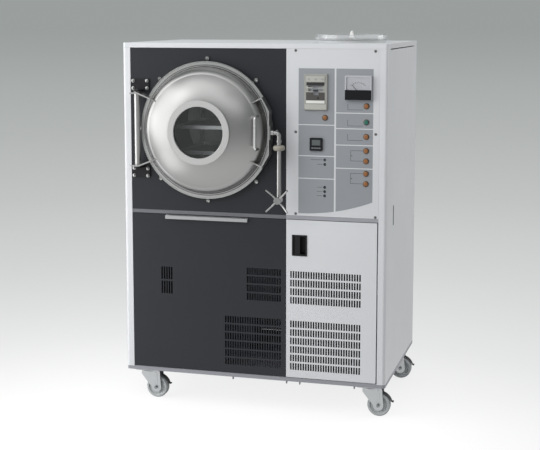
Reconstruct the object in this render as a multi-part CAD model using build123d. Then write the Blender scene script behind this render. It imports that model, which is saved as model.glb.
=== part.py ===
from build123d import *

import os
from math import asin, cos, radians, sin, sqrt

# ---------------------------------------------------------------------------
# Freeze dryer: a floor-standing cabinet on four braked casters.  Behind the
# left half is a horizontal stainless drying chamber with a domed, hinged door;
# behind the right half a vertical cold trap, the controls and the refrigerator.
#
# Working frame of this file, in millimetres: x to the right from the middle of
# the cabinet, y to the rear from the face of the corner columns, z up from the
# underside of the base rail.  main() shifts every sub-part by ORIGIN as it is
# written, which puts the origin on the floor under the middle of the machine.
# ---------------------------------------------------------------------------

# Cabinet
CAB_W = 1030.0          # over the side panels
CAB_D = 680.0           # front columns to rear flanges
CAB_TOP = 1282.0        # top face of the cover
SHEET = 2.0             # folded sheet of the casing
FRONT_R = 12.0          # front vertical corners, outside
REAR_R = 4.0            # rear vertical corners, outside
COLUMN_W = 31.0         # front face of each side panel
COLUMN_RETURN = 14.0    # how far the column's inner edge is folded back
REAR_FLANGE = 25.0
BASE_H = 13.0           # visible height of the base rail
BASE_RAIL_W = 46.0
TOP_LIP = 18.0          # front and side lip of the top cover
SEAM = 0.5              # gap between two fixed covers
SEAT = 0.3              # gap between a fitted piece and what carries it
FACE_Y = 0.5            # front face of the fixed front panels

# Levels and divisions of the front
DECK_TOP = 641.0        # top of the middle deck
DECK_LIP = 14.0         # grey front lip of the middle deck
DIVIDER_X = 133.0       # line between the left and the right half
PANEL_T = 2.5           # fixed front panels
SWING_GAP = 4.5         # open gap at the hinged edge of the condenser door
RUN_GAP = 2.0           # gap round the moving front panels
PANEL_DEPTH = 18.0      # folded edge of the moving front panels

# Open seam between top cover and side panel, and the side panel's pull
TOP_GAP_H = 3.0
TOP_GAP_Y = (46.0, 600.0)
SIDE_PULL_Y = 147.0
SIDE_PULL_Z = 634.0
SIDE_PULL_W = 18.0
SIDE_PULL_H = 76.0
SIDE_PULL_DEPTH = 12.0

# Ventilation slots
SLOT_W = 6.2
SLOT_H = 26.5
SLOT_PITCH_X = 9.8
SLOT_PITCH_Z = 33.0
TALL_SLOT_H = 49.0
TALL_SLOT_PITCH_Z = 56.0
DOOR_VENT_X = 285.0
DOOR_VENT_COUNT = 28
DOOR_VENT_Z = ((366.0, 4), (142.0, 6))
SERVICE_VENTS = (        # centre x, centre z, across, up
    (46.0, 370.0, 14, 4),
    (2.0, 144.0, 23, 6),
)
SMALL_VENT = (-344.0, 366.0, 5, 2)
REAR_SLOT = (150.0, 6.0)
REAR_VENT_ROWS = 10
REAR_VENT_PITCH = 22.0
REAR_VENT_Z = 272.0

# Drying chamber
CHAMBER_X = -173.0
CHAMBER_Z = 955.0
CHAMBER_R = 220.0       # inside
CHAMBER_WALL = 3.0
CHAMBER_DEPTH = 420.0
CHAMBER_DISH = 46.0     # depth of the dished rear end
FLANGE_R = CHAMBER_R + 36.0
FLANGE_FRONT = -10.0    # y of the sealing face
SEAL_R = CHAMBER_R + 27.0
SEAL_W = 8.0
SEAL_GROOVE = 5.0
SEAL_PROUD = 2.2
NUT_CIRCLE_R = FLANGE_R + 14.0
MOUNT_RING_R = NUT_CIRCLE_R + 16.0
MOUNT_RING_T = 10.0
NUT_COUNT = 8
STUD_R = 4.0
NUT_HEX = 14.0          # across flats
NUT_BASE_H = 5.0

# Chamber door
DOOR_R = FLANGE_R + 4.0         # rim
RIM_T = 12.0            # thickness of the rim ring
RIM_IN_R = DOOR_R - 22.0
DOME_T = 3.0
DOME_REACH = 112.0      # crown of the dome in front of the cabinet face
KNUCKLE_R = RIM_IN_R - 25.0
KNUCKLE_Y = -66.0
GLASS_R = 96.0          # clear opening
WINDOW_RING_R = GLASS_R + 25.0
WINDOW_RING_T = 8.0
GLASS_REBATE = 8.0
GLASS_T = 10.0
NECK_IN = 7.0           # neck inside the window ring
DOOR_GAP = 0.3          # rim to seal

# Door hinge
HINGE_X = CHAMBER_X - NUT_CIRCLE_R
HINGE_Y = -38.0
HINGE_TUBE_R = 11.0
HINGE_PIN_R = 6.0
HINGE_HALF = 143.0      # half the length of the hinge tube
PIN_FIT = 0.05          # radial clearance of a running pin
BAND_T = 5.0            # hinge arms and hasp band
BAND_Y = (-66.0, -22.0)
BRACKET_W = 72.0
BRACKET_H = 46.0
BRACKET_T = 5.0
BRACKET_BOLTS = (56.0, 28.0)
LUG_T = 6.0
LUG_R = 15.0

# Door handle
HANDLE_X = KNUCKLE_R    # from the chamber's axis
HANDLE_HALF = 61.0
HANDLE_R = 5.0
HANDLE_Y = -98.0

# Clamp on the hasp
HASP_REACH = DOOR_R - 5.0
CLAMP_X = CHAMBER_X + HASP_REACH + 36.0
CLAMP_Y = -48.0
CLAMP_PIVOT_Z = CHAMBER_Z
CLAMP_ARM_R = 8.0
CLAMP_ELBOW_R = 14.0
CLAMP_PIN_R = 6.0
CLAMP_LENGTH = 238.0    # pivot to the end of the arm
CLAMP_NUT_Z = 899.0
CLAMP_NUT_R = 22.0
CLAMP_NUT_H = 20.0
STAR_R = 58.0
STAR_Z = 705.0
STAR_HUB_R = 13.0
STAR_SPOKE_R = 3.6
STAR_LEAN = 14.0
STAR_SPINDLE_R = 6.0

# Controls: (x, z) of each push button, and the other pieces of the panel.
# The cap by the breaker is the supply lamp; it has a button's shape but no travel.
BUTTONS = {
    "button_pump": (435.5, 1056.0),
    "button_start": (435.5, 997.0),
    "button_freeze": (435.5, 944.0),
    "button_vacuum": (435.5, 892.0),
    "button_drying": (435.5, 854.0),
    "button_heater": (435.5, 808.0),
    "button_defrost": (435.5, 770.0),
}
BUTTON_R = 8.5
BUTTON_PROUD = 6.0
BUTTON_LENGTH = 22.0
BUTTON_CLEAR = 0.3
SUPPLY_LAMP = (281.0, 1011.0)
LAMPS = ((278.5, 854.5), (278.5, 837.5), (279.3, 752.0), (279.3, 736.0), (279.3, 720.0))
LAMP_R = 2.6
BREAKER = (246.5, 1105.0, 88.0, 133.0)        # x, z, width, height
BREAKER_PROUD = 7.0
BREAKER_DEPTH = 58.0
BREAKER_WINDOW = (56.0, 34.0)
TOGGLE_W = 14.0
TOGGLE_Z = 6.0
METER = (406.3, 1123.0, 98.0, 89.0)
METER_PROUD = 14.0
METER_BODY_R = 33.0
METER_BODY_DEPTH = 42.0
METER_BAND_H = 37.0     # black lower part
CONTROLLER = (248.5, 912.0, 48.0, 48.0)
CONTROLLER_PROUD = 7.0
CONTROLLER_DEPTH = 62.0

# Condenser door latch
LATCH_X = 185.6
LATCH_Z = 528.0
LATCH_W = 58.0
LATCH_H = 80.0
LATCH_DEPTH = 24.0
LATCH_WALL = 2.0
DOOR_PIN_R = 3.0
DOOR_PIN_IN = SHEET + DOOR_PIN_R       # door's hinge pin, in from its edge
DOOR_PIN_Y = 7.0
TILT_PIN_R = 2.0
TILT_PIN_Y = FACE_Y + SHEET + TILT_PIN_R + 0.5
TILT_PIN_UP = 5.0       # tilt axis above the panel's lower edge
TILT_LUG_W = 6.0
TILT_RELIEF = 1.6       # cut off the folds behind and below the axis

# Pull of the service panel
PULL_X = (-344.0, -16.0)
PULL_REACH = 13.0
PULL_H = 15.0

# Cold trap
TRAP_X = 318.0
TRAP_Y = 300.0
TRAP_R = 115.0
TRAP_WALL = 2.5
TRAP_BOTTOM = 984.0
TRAP_FLANGE_R = TRAP_R + 16.0
TRAP_FLANGE_T = 9.0
LID_R = TRAP_FLANGE_R + 8.0
LID_T = 8.0
LID_WALL = 7.0
LID_H = 21.0
DUCT_Z = 1032.0
DUCT_R = 40.0
KNOB_R = 11.0
KNOB_H = 27.0

# Machinery
FAN_X = 308.0
FAN_Z = 242.0
FAN_R = 112.0
FAN_HUB_R = 30.0
FAN_BLADES = 5
COIL_Y = (60.0, 104.0)
COIL_X = (DIVIDER_X + 25.0, CAB_W / 2 - COLUMN_W - 26.0)
COIL_Z = (32.0, 452.0)
COMPRESSOR_R = 95.0
COMPRESSOR_X = CAB_W / 2 - COMPRESSOR_R - 110.0
COMPRESSOR_Y = CAB_D - COMPRESSOR_R - 115.0
COMPRESSOR_H = 250.0
PUMP_X = -250.0
PUMP_Y = 330.0
EXHAUST_X = -330.0
EXHAUST_Z = 92.0
EXHAUST_R = 12.5
EXHAUST_REACH = 28.0

# Casters
CASTER_X = 448.0        # swivel pin from the middle
CASTER_Y = 82.0         # swivel pin from front and rear faces
CASTER_HEAD = 30.0      # mounting face above the top of the wheel
PAD_H = 12.0            # caster pads below the base rail
WHEEL_R = 44.0
WHEEL_W = 30.0
TRAIL = 32.0
AXLE_R = 6.0
KINGPIN_R = 6.0
FORK_T = 3.0
FORK_GAP = 4.0          # wheel side to fork
FORK_END_R = 20.0       # rounded lower end of each leg
FORK_RIB = (9.0, 1.6)   # width and height of the pressed rib
PEDAL_T = 3.0
PEDAL_W = 16.0
PEDAL_KNUCKLE_W = 34.0
PEDAL_PIN_R = 3.0
PEDAL_CLEAR = 5.0       # shoe to wheel
PEDAL_LEAD = 704.0      # shoe's start past the wheel's top: degrees times radius

# Worked out from the above
BASE_TOP = BASE_H
PAN_TOP = BASE_TOP + SHEET
COVER_EDGE = CAB_TOP - TOP_LIP
HALF_W = CAB_W / 2
COLUMN_X = HALF_W - COLUMN_W
DECK_LIP_Z = DECK_TOP - DECK_LIP
PANEL_BACK = FACE_Y + PANEL_DEPTH
RIM_BACK = FLANGE_FRONT - SEAL_PROUD - DOOR_GAP
RIM_FRONT = RIM_BACK - RIM_T
RING_FRONT = -(DOME_REACH + WINDOW_RING_T + 1.0)
DOOR_PIN_X = COLUMN_X - SWING_GAP - DOOR_PIN_IN
WHEEL_SPACE = WHEEL_W / 2 + FORK_GAP
PEDAL_PIN_AT = (9.0, WHEEL_R + 4.0)     # pin from the axle
PEDAL_TIP = WHEEL_R + 12.0              # tip of the brake pedal from the axle
FLOOR = -(PAD_H + CASTER_HEAD + 2 * WHEEL_R)
FRONT_REACH = RING_FRONT
RIGHT_REACH = CASTER_X + TRAIL + PEDAL_TIP
REAR_REACH = CAB_D + EXHAUST_REACH
ORIGIN = (
    (RIGHT_REACH - HALF_W) / 2,
    (FRONT_REACH + REAR_REACH) / 2,
    FLOOR,
)


# ------------------------------------------------------------------ helpers
def block(x, y, z):
    """Box between the two ends given on each axis."""
    middle = [sum(span) / 2 for span in (x, y, z)]
    return Pos(*middle) * Box(x[1] - x[0], y[1] - y[0], z[1] - z[0])


def rod_x(radius, x, y, z):
    """Cylinder along x between the two ends of x."""
    return Pos(sum(x) / 2, y, z) * Rot(0, 90, 0) * Cylinder(radius, x[1] - x[0])


def rod_y(radius, x, y, z):
    """Cylinder along y between the two ends of y."""
    return Pos(x, sum(y) / 2, z) * Rot(90, 0, 0) * Cylinder(radius, y[1] - y[0])


def rod_z(radius, x, y, z):
    """Cylinder along z between the two ends of z."""
    return Pos(x, y, sum(z) / 2) * Cylinder(radius, z[1] - z[0])


def turned_y(points, x, z):
    """Ring or pot turned about an axis along y; points are (radius, y)."""
    profile = make_face(Polyline(*points, close=True))
    return Pos(x, 0, z) * revolve(profile, Axis.Y)


def turned_z(points, x, y):
    """Ring or pot turned about a vertical axis; points are (radius, z)."""
    profile = Plane.XZ * make_face(Polyline(*points, close=True))
    return Pos(x, y, 0) * revolve(profile, Axis.Z)


def front_sheet(sketch, y0, y1):
    """Extrude a sketch drawn in x and z from depth y0 back to depth y1."""
    return extrude(Plane.XZ.offset(-y1) * sketch, y1 - y0)


def rectangle(x, z):
    """Sketch rectangle between the two ends given on each axis."""
    return Pos(sum(x) / 2, sum(z) / 2) * Rectangle(x[1] - x[0], z[1] - z[0])


def slot_field(x, z, across, up, width=SLOT_W, height=SLOT_H, pitch=SLOT_PITCH_X, rise=SLOT_PITCH_Z):
    """Sketch of a field of upright slots centred on x and z."""
    return Pos(x, z) * GridLocations(pitch, rise, across, up) * Rectangle(width, height)


def cabinet_plan(inset=0.0):
    """Plan of the casing, with wide front corners and tight rear ones."""
    x = HALF_W - inset
    front, rear = inset, CAB_D - inset
    plan = make_face(Polyline((-x, front), (x, front), (x, rear), (-x, rear), close=True))
    plan = fillet(plan.vertices().group_by(Axis.Y)[0], FRONT_R - inset)
    return fillet(plan.vertices().group_by(Axis.Y)[-1], REAR_R - inset)


# ------------------------------------------------------------------- casing
def base_frame():
    """Welded channel frame with its pan, caster pads and the panels' lower pins."""
    frame = extrude(cabinet_plan(), BASE_H)
    inner = (-HALF_W + BASE_RAIL_W, HALF_W - BASE_RAIL_W)
    depth = (BASE_RAIL_W, CAB_D - BASE_RAIL_W)
    frame -= block(inner, depth, (-1, BASE_TOP + 1))
    under = (-1, BASE_TOP - SHEET)
    for x in (-1, 1):
        side = sorted((x * (HALF_W - SHEET * 2), x * (HALF_W - BASE_RAIL_W + SHEET)))
        frame -= block(side, depth, under)
    frame -= block(inner, (SHEET * 2, BASE_RAIL_W - SHEET), under)
    frame -= block(inner, (CAB_D - BASE_RAIL_W + SHEET, CAB_D - SHEET * 2), under)
    for x in (-150.0, DIVIDER_X):
        frame += block((x - 20, x + 20), depth, (BASE_TOP - 8, BASE_TOP))
    for x in (-CASTER_X, CASTER_X):
        for y in (CASTER_Y, CAB_D - CASTER_Y):
            frame += block((x - 52, x + 52), (y - 45, y + 45), (-PAD_H, BASE_TOP))
    for x in (-84.0, 130.0, 182.0, 394.0):
        tab = make_face(Polyline((14, BASE_TOP - 1), (32, BASE_TOP - 1), (32, 0),
                                 (20, -14), (14, -14), close=True))
        frame += extrude(Plane.YZ.offset(x) * tab, 4)
    pan_x = HALF_W - SHEET - SEAM
    back = CAB_D - SHEET * 2 - 1
    frame += block((-pan_x, pan_x), (COLUMN_RETURN + SEAM, back), (BASE_TOP, PAN_TOP))
    frame += block((-COLUMN_X + SEAM, COLUMN_X - SEAM), (SHEET, back), (BASE_TOP, PAN_TOP))
    pin_top = PAN_TOP + RUN_GAP + SHEET + 8
    frame += rod_z(DOOR_PIN_R, DOOR_PIN_X, DOOR_PIN_Y, (PAN_TOP, pin_top))
    frame += rod_z(DOOR_PIN_R + 2, DOOR_PIN_X, DOOR_PIN_Y, (PAN_TOP, PAN_TOP + RUN_GAP - SEAT))
    return frame + tilt_pins()


def tilt_axis_z():
    """Height of the service panel's tilt axis."""
    return PAN_TOP + RUN_GAP + TILT_PIN_UP


def tilt_pins():
    """Two lugs on the pan, each with a pin into the service panel's side fold."""
    (x0, x1), _ = service_span()
    y, z = TILT_PIN_Y, tilt_axis_z()
    lugs = None
    for edge, way in ((x0, 1), (x1, -1)):
        near = edge + way * (SHEET + 2)
        lug_x = sorted((near, near + way * TILT_LUG_W))
        lug = block(lug_x, (y + 1, y + 7), (PAN_TOP, z + 4))
        lug += rod_x(TILT_PIN_R + 0.4, lug_x, y, z)
        lug += rod_x(TILT_PIN_R, sorted((edge - way * 0.8, near + way)), y, z)
        lugs = lug if lugs is None else lugs + lug
    return lugs


def side_panel():
    """Right side panel: side, front column and rear flange folded from one sheet."""
    wrap = cabinet_plan() - cabinet_plan(SHEET)
    keep = Pos(HALF_W - REAR_FLANGE / 2, CAB_D / 2) * Rectangle(REAR_FLANGE, CAB_D + 2)
    keep += Pos(HALF_W - COLUMN_W / 2, 10) * Rectangle(COLUMN_W, 24)
    plan = wrap & keep
    plan += Pos(COLUMN_X + SHEET / 2, COLUMN_RETURN / 2) * Rectangle(SHEET, COLUMN_RETURN)
    sheet = extrude(Pos(0, 0, BASE_TOP + SEAT) * plan, COVER_EDGE - SEAM - BASE_TOP - SEAT)
    edge = COVER_EDGE - SEAM
    sheet -= block((HALF_W - SHEET - 1, HALF_W + 1), TOP_GAP_Y, (edge - TOP_GAP_H, edge + 1))
    half_w, half_h = SIDE_PULL_W / 2, SIDE_PULL_H / 2
    mouth_y = (SIDE_PULL_Y - half_w, SIDE_PULL_Y + half_w)
    mouth_z = (SIDE_PULL_Z - half_h, SIDE_PULL_Z + half_h)
    cup = block(
        (HALF_W - SIDE_PULL_DEPTH - SHEET, HALF_W - SHEET),
        (mouth_y[0] - SHEET, mouth_y[1] + SHEET),
        (mouth_z[0] - SHEET, mouth_z[1] + SHEET),
    )
    return sheet + cup - block((HALF_W - SIDE_PULL_DEPTH, HALF_W + 1), mouth_y, mouth_z)


def right_side_panel():
    return side_panel()


def left_side_panel():
    return mirror(side_panel(), Plane.YZ)


def top_cover():
    """Shallow pan over the whole cabinet, with the hole for the cold trap."""
    cover = extrude(Pos(0, 0, COVER_EDGE) * cabinet_plan(), TOP_LIP)
    cover -= extrude(Pos(0, 0, COVER_EDGE) * cabinet_plan(SHEET), TOP_LIP - SHEET)
    return cover - rod_z(TRAP_R + TRAP_WALL + 1, TRAP_X, TRAP_Y, (COVER_EDGE, CAB_TOP + 1))


def rear_panel():
    """Rear sheet behind the side panels' flanges, with slots and exhaust spigot."""
    x = HALF_W - REAR_R - SEAM
    z = (PAN_TOP + SEAM, COVER_EDGE - SEAM)
    sheet = rectangle((-x, x), z)
    fields = [
        Pos(cx, REAR_VENT_Z) * GridLocations(1, REAR_VENT_PITCH, 1, REAR_VENT_ROWS)
        * Rectangle(*REAR_SLOT)
        for cx in (TRAP_X - 90, TRAP_X + 90)
    ]
    for field in fields:
        sheet -= field
    back = CAB_D - SHEET - SEAT
    panel = front_sheet(sheet, back - SHEET, back)
    panel += rod_y(EXHAUST_R, EXHAUST_X, (back, REAR_REACH), EXHAUST_Z)
    panel += rod_y(EXHAUST_R + 6, EXHAUST_X, (back, CAB_D + 2), EXHAUST_Z)
    return panel - rod_y(EXHAUST_R - 3, EXHAUST_X, (back - SHEET - 1, REAR_REACH + 1), EXHAUST_Z)


def inner_frame():
    """Middle deck with its grey front lip, the two dividers and the upper door pin."""
    x = HALF_W - SHEET - SEAM
    rear = CAB_D - SHEET * 2 - 1
    plan = Pos(0, (COLUMN_RETURN + SEAM + rear) / 2) * Rectangle(
        2 * x, rear - COLUMN_RETURN - SEAM)
    for side in (-1, 1):
        plan -= Pos(side * HALF_W, SIDE_PULL_Y) * Rectangle(
            2 * (SIDE_PULL_DEPTH + SHEET + 2), SIDE_PULL_W + 2 * SHEET + 4)
    lip_x = COLUMN_X - SEAM
    plan += Pos(0, 10) * Rectangle(2 * lip_x, 20 - 2 * FACE_Y)
    frame = extrude(Pos(0, 0, DECK_TOP - SHEET) * plan, SHEET)
    frame += block((-lip_x, lip_x), (FACE_Y, FACE_Y + SHEET), (DECK_LIP_Z, DECK_TOP))
    wall = (DIVIDER_X - SHEET, DIVIDER_X)
    back = rear - 1
    face = FACE_Y + PANEL_T + SEAT
    upper = (DECK_TOP - SHEET, COVER_EDGE + TOP_LIP - SHEET - SEAM)
    frame += block(wall, (face, back), upper)
    frame += block((DIVIDER_X - 17, DIVIDER_X + 18), (face, face + SHEET), (DECK_TOP, upper[1] - 14))
    stop = PANEL_BACK + SEAT
    lower = (PAN_TOP + SEAT, DECK_TOP - SHEET)
    frame += block(wall, (stop, back), lower)
    frame += block((DIVIDER_X - 22, DIVIDER_X + 20), (stop, stop + SHEET), lower)
    frame -= rod_x(DUCT_R + 4, (DIVIDER_X - 10, DIVIDER_X + 10), TRAP_Y, DUCT_Z)
    lug_x = (DOOR_PIN_X - 9, DOOR_PIN_X + 7)
    under = (DECK_LIP_Z, DECK_TOP - SHEET)
    frame += block(lug_x, (FACE_Y + SHEET, DOOR_PIN_Y + 9), under)
    return frame + rod_z(DOOR_PIN_R, DOOR_PIN_X, DOOR_PIN_Y, (DECK_LIP_Z - RUN_GAP - SHEET - 8, DECK_LIP_Z))


def chamber_panel():
    """Dark fixed panel round the chamber."""
    sheet = rectangle((-COLUMN_X + SEAM, DIVIDER_X - SEAM), (DECK_TOP + SEAM, COVER_EDGE - SEAM))
    sheet -= Pos(CHAMBER_X, CHAMBER_Z) * Circle(CHAMBER_R + CHAMBER_WALL + 2)
    sheet -= Pos(CHAMBER_X, CHAMBER_Z) * PolarLocations(NUT_CIRCLE_R, NUT_COUNT) * Circle(STUD_R + SEAM)
    return front_sheet(sheet, FACE_Y, FACE_Y + PANEL_T)


def control_panel():
    """Pale fixed panel with a cut-out for every instrument and button."""
    sheet = rectangle((DIVIDER_X + SEAM, COLUMN_X - SEAM), (DECK_TOP + SEAM, COVER_EDGE - SEAM))
    for x, z, w, h in (BREAKER, CONTROLLER):
        sheet -= Pos(x, z) * Rectangle(w - 8 + 2 * SEAM, h - 8 + 2 * SEAM)
    sheet -= Pos(METER[0], METER[1]) * Circle(METER_BODY_R + SEAM)
    for x, z in BUTTONS.values():
        sheet -= Pos(x, z) * Circle(BUTTON_R + BUTTON_CLEAR)
    sheet -= Pos(*SUPPLY_LAMP) * Circle(BUTTON_R + BUTTON_CLEAR)
    for x, z in LAMPS:
        sheet -= Pos(x, z) * Circle(LAMP_R + SEAT)
    return front_sheet(sheet, FACE_Y, FACE_Y + PANEL_T)


# ----------------------------------------------------------- drying chamber
def chamber_vessel():
    """Horizontal drum with sealing flange, mounting ring, dished end and duct."""
    out = CHAMBER_R + CHAMBER_WALL
    end = FLANGE_FRONT + CHAMBER_DEPTH
    dish = CHAMBER_DISH
    ring_y = FACE_Y + PANEL_T + SEAT
    outside = make_face(Polyline(
        (0, FLANGE_FRONT), (FLANGE_R, FLANGE_FRONT), (FLANGE_R, FACE_Y - SEAT), (out, FACE_Y - SEAT),
        (out, ring_y), (MOUNT_RING_R, ring_y), (MOUNT_RING_R, ring_y + MOUNT_RING_T),
        (out, ring_y + MOUNT_RING_T), (out, end), (0, end), close=True))
    shell = revolve(outside, Axis.Y)
    shell += dished_end(out, end, dish)
    shell = Pos(CHAMBER_X, 0, CHAMBER_Z) * shell
    trap_side = TRAP_X - TRAP_R - TRAP_WALL
    shell += rod_x(DUCT_R, (CHAMBER_X, TRAP_X), TRAP_Y, DUCT_Z)
    shell -= rod_z(TRAP_R + TRAP_WALL + SEAT, TRAP_X, TRAP_Y, (TRAP_BOTTOM - 20, CAB_TOP))
    bore = make_face(Polyline((0, FLANGE_FRONT - 1), (CHAMBER_R, FLANGE_FRONT - 1), (CHAMBER_R, end),
                              (0, end), close=True))
    hollow = revolve(bore, Axis.Y) + dished_end(CHAMBER_R, end, dish - CHAMBER_WALL)
    shell -= Pos(CHAMBER_X, 0, CHAMBER_Z) * hollow
    shell -= rod_x(DUCT_R - SHEET, (CHAMBER_X, trap_side + 10), TRAP_Y, DUCT_Z)
    groove = (SEAL_R - SEAL_W / 2 - 0.2, SEAL_R + SEAL_W / 2 + 0.2)
    front = FLANGE_FRONT - 1
    shell -= turned_y(((groove[0], front), (groove[1], front), (groove[1], FLANGE_FRONT + SEAL_GROOVE),
                       (groove[0], FLANGE_FRONT + SEAL_GROOVE)), CHAMBER_X, CHAMBER_Z)
    for spot in PolarLocations(NUT_CIRCLE_R, NUT_COUNT):
        at = spot.position
        shell -= rod_y(STUD_R + SEAM, CHAMBER_X + at.X, (ring_y - 1, ring_y + MOUNT_RING_T + 1),
                       CHAMBER_Z + at.Y)
    return shell


def dished_end(radius, start, depth):
    """Shallow spherical bowl on the axis y, from a disc of that radius at start."""
    sphere = (radius ** 2 + depth ** 2) / (2 * depth)
    centre = start + depth - sphere
    half = asin(radius / sphere) / 2
    arc = ThreePointArc((0, start + depth), (sphere * sin(half), centre + sphere * cos(half)),
                        (radius, start))
    edge = arc + Line((radius, start), (0, start)) + Line((0, start), (0, start + depth))
    return revolve(make_face(edge), Axis.Y)


def door_seal():
    """Rubber ring in the groove of the chamber's flange."""
    r0, r1 = SEAL_R - SEAL_W / 2, SEAL_R + SEAL_W / 2
    front, back = FLANGE_FRONT - SEAL_PROUD, FLANGE_FRONT + SEAL_GROOVE
    lip = 1.5
    return turned_y(((r0, back), (r0, front + lip), (r0 + lip, front), (r1 - lip, front),
                     (r1, front + lip), (r1, back)), CHAMBER_X, CHAMBER_Z)


def cap_nuts():
    """Studs and cap nuts that hold the chamber to its panel."""
    r = NUT_HEX / 2 - 0.8
    cap_y = FACE_Y - NUT_BASE_H
    cap = rod_y(r, 0, (cap_y - r, cap_y + 1), 0)
    cap = chamfer(cap.edges().group_by(Axis.Y)[0], r * 0.45)
    nut = front_sheet(RegularPolygon(NUT_HEX / sqrt(3), 6), cap_y, FACE_Y) + cap
    nut += rod_y(STUD_R, 0, (FACE_Y, FACE_Y + PANEL_T + SEAT + MOUNT_RING_T), 0)
    nuts = [Pos(CHAMBER_X + p.position.X, 0, CHAMBER_Z + p.position.Y) * nut
            for p in PolarLocations(NUT_CIRCLE_R, NUT_COUNT)]
    return Compound(nuts)


def shelf_rack():
    """Three folded shelves in a post frame that stands on the chamber's wall."""
    half = CHAMBER_R - 70
    floor = -sqrt(CHAMBER_R ** 2 - half ** 2) + SEAT
    rack = None
    y = (24.0, 372.0)
    for x in (-half, half - 10):
        for py in (y[0], y[1] - 10):
            post = block((x, x + 10), (py, py + 10), (floor - 8, 8 - floor))
            rack = post if rack is None else rack + post
    for level in (-98.0, 0.0, 98.0):
        tray = block((10 - half, half - 10), y, (level, level + 14))
        tray -= block((12 - half, half - 12), (y[0] + 2, y[1] - 2), (level + 2, level + 15))
        rack += tray
    for x in (-half, half - 10):
        rack += block((x, x + 10), y, (floor + 2, floor + 12))
    rack = rack & rod_y(CHAMBER_R - SEAT, 0, (0, 400), 0)
    return Pos(CHAMBER_X, 0, CHAMBER_Z) * rack


# -------------------------------------------------------------- chamber door
def door_dome():
    """Pressed dome with rim, window neck, hinge arms with their tube, and hasp."""
    neck = WINDOW_RING_R - NECK_IN
    neck_y = -DOME_REACH - 1.0
    crown = (neck, -DOME_REACH + 1)
    middle = dome_middle()
    outer = Polyline((GLASS_R + GLASS_REBATE, neck_y), (neck, neck_y), crown)
    outer += ThreePointArc(crown, middle, (KNUCKLE_R, KNUCKLE_Y))
    outer += ThreePointArc((KNUCKLE_R, KNUCKLE_Y), (RIM_IN_R - 4, KNUCKLE_Y + 20), (RIM_IN_R, RIM_FRONT))
    outer += Polyline((RIM_IN_R, RIM_FRONT), (DOOR_R, RIM_FRONT), (DOOR_R, RIM_BACK),
                      (RIM_IN_R - 12, RIM_BACK), (RIM_IN_R - 12, RIM_FRONT + 2))
    inner_knuckle = (KNUCKLE_R - DOME_T, KNUCKLE_Y + DOME_T)
    inner_crown = (neck, -DOME_REACH + 1 + DOME_T)
    outer += ThreePointArc((RIM_IN_R - 12, RIM_FRONT + 2),
                           (RIM_IN_R - 16, KNUCKLE_Y + 21), inner_knuckle)
    outer += ThreePointArc(inner_knuckle, (middle[0] - 1, middle[1] + DOME_T), inner_crown)
    seat = -DOME_REACH - 1 + GLASS_T + SEAT
    outer += Polyline(inner_crown, (neck, seat + 3), (GLASS_R, seat + 3), (GLASS_R, seat),
                      (GLASS_R + GLASS_REBATE, seat), (GLASS_R + GLASS_REBATE, neck_y))
    dome = Pos(CHAMBER_X, 0, CHAMBER_Z) * revolve(make_face(outer), Axis.Y)
    return dome + (hinge_leaf() + hasp() - dome_body(-1.0))


def dome_middle():
    """Point of the dome's outer curve between the neck and the knuckle."""
    neck, top = WINDOW_RING_R - NECK_IN, -DOME_REACH + 1
    return neck + (KNUCKLE_R - neck) * 56 / 99, top + (KNUCKLE_Y - top) * 19 / 45


def dome_body(grow):
    """Everything inside the dome's outer face, grown or shrunk by a small distance."""
    rim = RIM_IN_R + grow
    knuckle = (KNUCKLE_R + grow * 0.6, KNUCKLE_Y - grow * 0.8)
    neck = (WINDOW_RING_R - NECK_IN, -DOME_REACH + 1 - grow)
    middle = dome_middle()
    edge = Polyline((0, RIM_BACK), (rim, RIM_BACK), (rim, RIM_FRONT))
    edge += ThreePointArc((rim, RIM_FRONT), (rim - 4 - grow * 0.1, KNUCKLE_Y + 20 - grow * 0.4), knuckle)
    edge += ThreePointArc(knuckle, (middle[0] + grow * 0.3, middle[1] - grow), neck)
    edge += Polyline(neck, (0, neck[1]), (0, RIM_BACK))
    return Pos(CHAMBER_X, 0, CHAMBER_Z) * revolve(make_face(edge), Axis.Y)


def band(points):
    """Bent strip of constant thickness along a path drawn in x and z."""
    path = Polyline(*points)
    strip = trace(path, BAND_T)
    return front_sheet(strip, *BAND_Y)


def hinge_leaf():
    """Two bent arms and the tube that turns on the hinge pins."""
    z = HINGE_HALF - BAND_T
    leaf = rod_z(HINGE_TUBE_R, HINGE_X, HINGE_Y, (CHAMBER_Z - HINGE_HALF, CHAMBER_Z + HINGE_HALF))
    pin = HINGE_HALF + LUG_T + 1
    leaf += rod_z(HINGE_PIN_R, HINGE_X, HINGE_Y, (CHAMBER_Z - pin, CHAMBER_Z + pin))
    for side in (-1, 1):
        points = (
            (HINGE_X - 20, CHAMBER_Z + side * z),
            (HINGE_X + 12, CHAMBER_Z + side * z),
            (CHAMBER_X - (KNUCKLE_R - 17) * cos(radians(28)),
             CHAMBER_Z + side * (KNUCKLE_R + 9) * sin(radians(28))),
        )
        leaf += band(points)
    return leaf


def hasp():
    """Bent band outside the rim with a rib at each end, mirrored up and down."""
    x = CHAMBER_X
    z = CHAMBER_Z
    strap = band((
        (x + HASP_REACH - 69, z - 107), (x + HASP_REACH - 27, z - 128), (x + HASP_REACH, z - 80),
        (x + HASP_REACH, z + 80), (x + HASP_REACH - 27, z + 128), (x + HASP_REACH - 69, z + 107),
    ))
    return strap


def window_ring():
    """Flat clamp ring over the window."""
    back = -DOME_REACH - 1.0 - SEAT
    bevel = 1.5
    return turned_y((
        (GLASS_R, back), (GLASS_R, RING_FRONT + bevel), (GLASS_R + bevel, RING_FRONT),
        (WINDOW_RING_R - bevel, RING_FRONT), (WINDOW_RING_R, RING_FRONT + bevel),
        (WINDOW_RING_R, back),
    ), CHAMBER_X, CHAMBER_Z)


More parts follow.
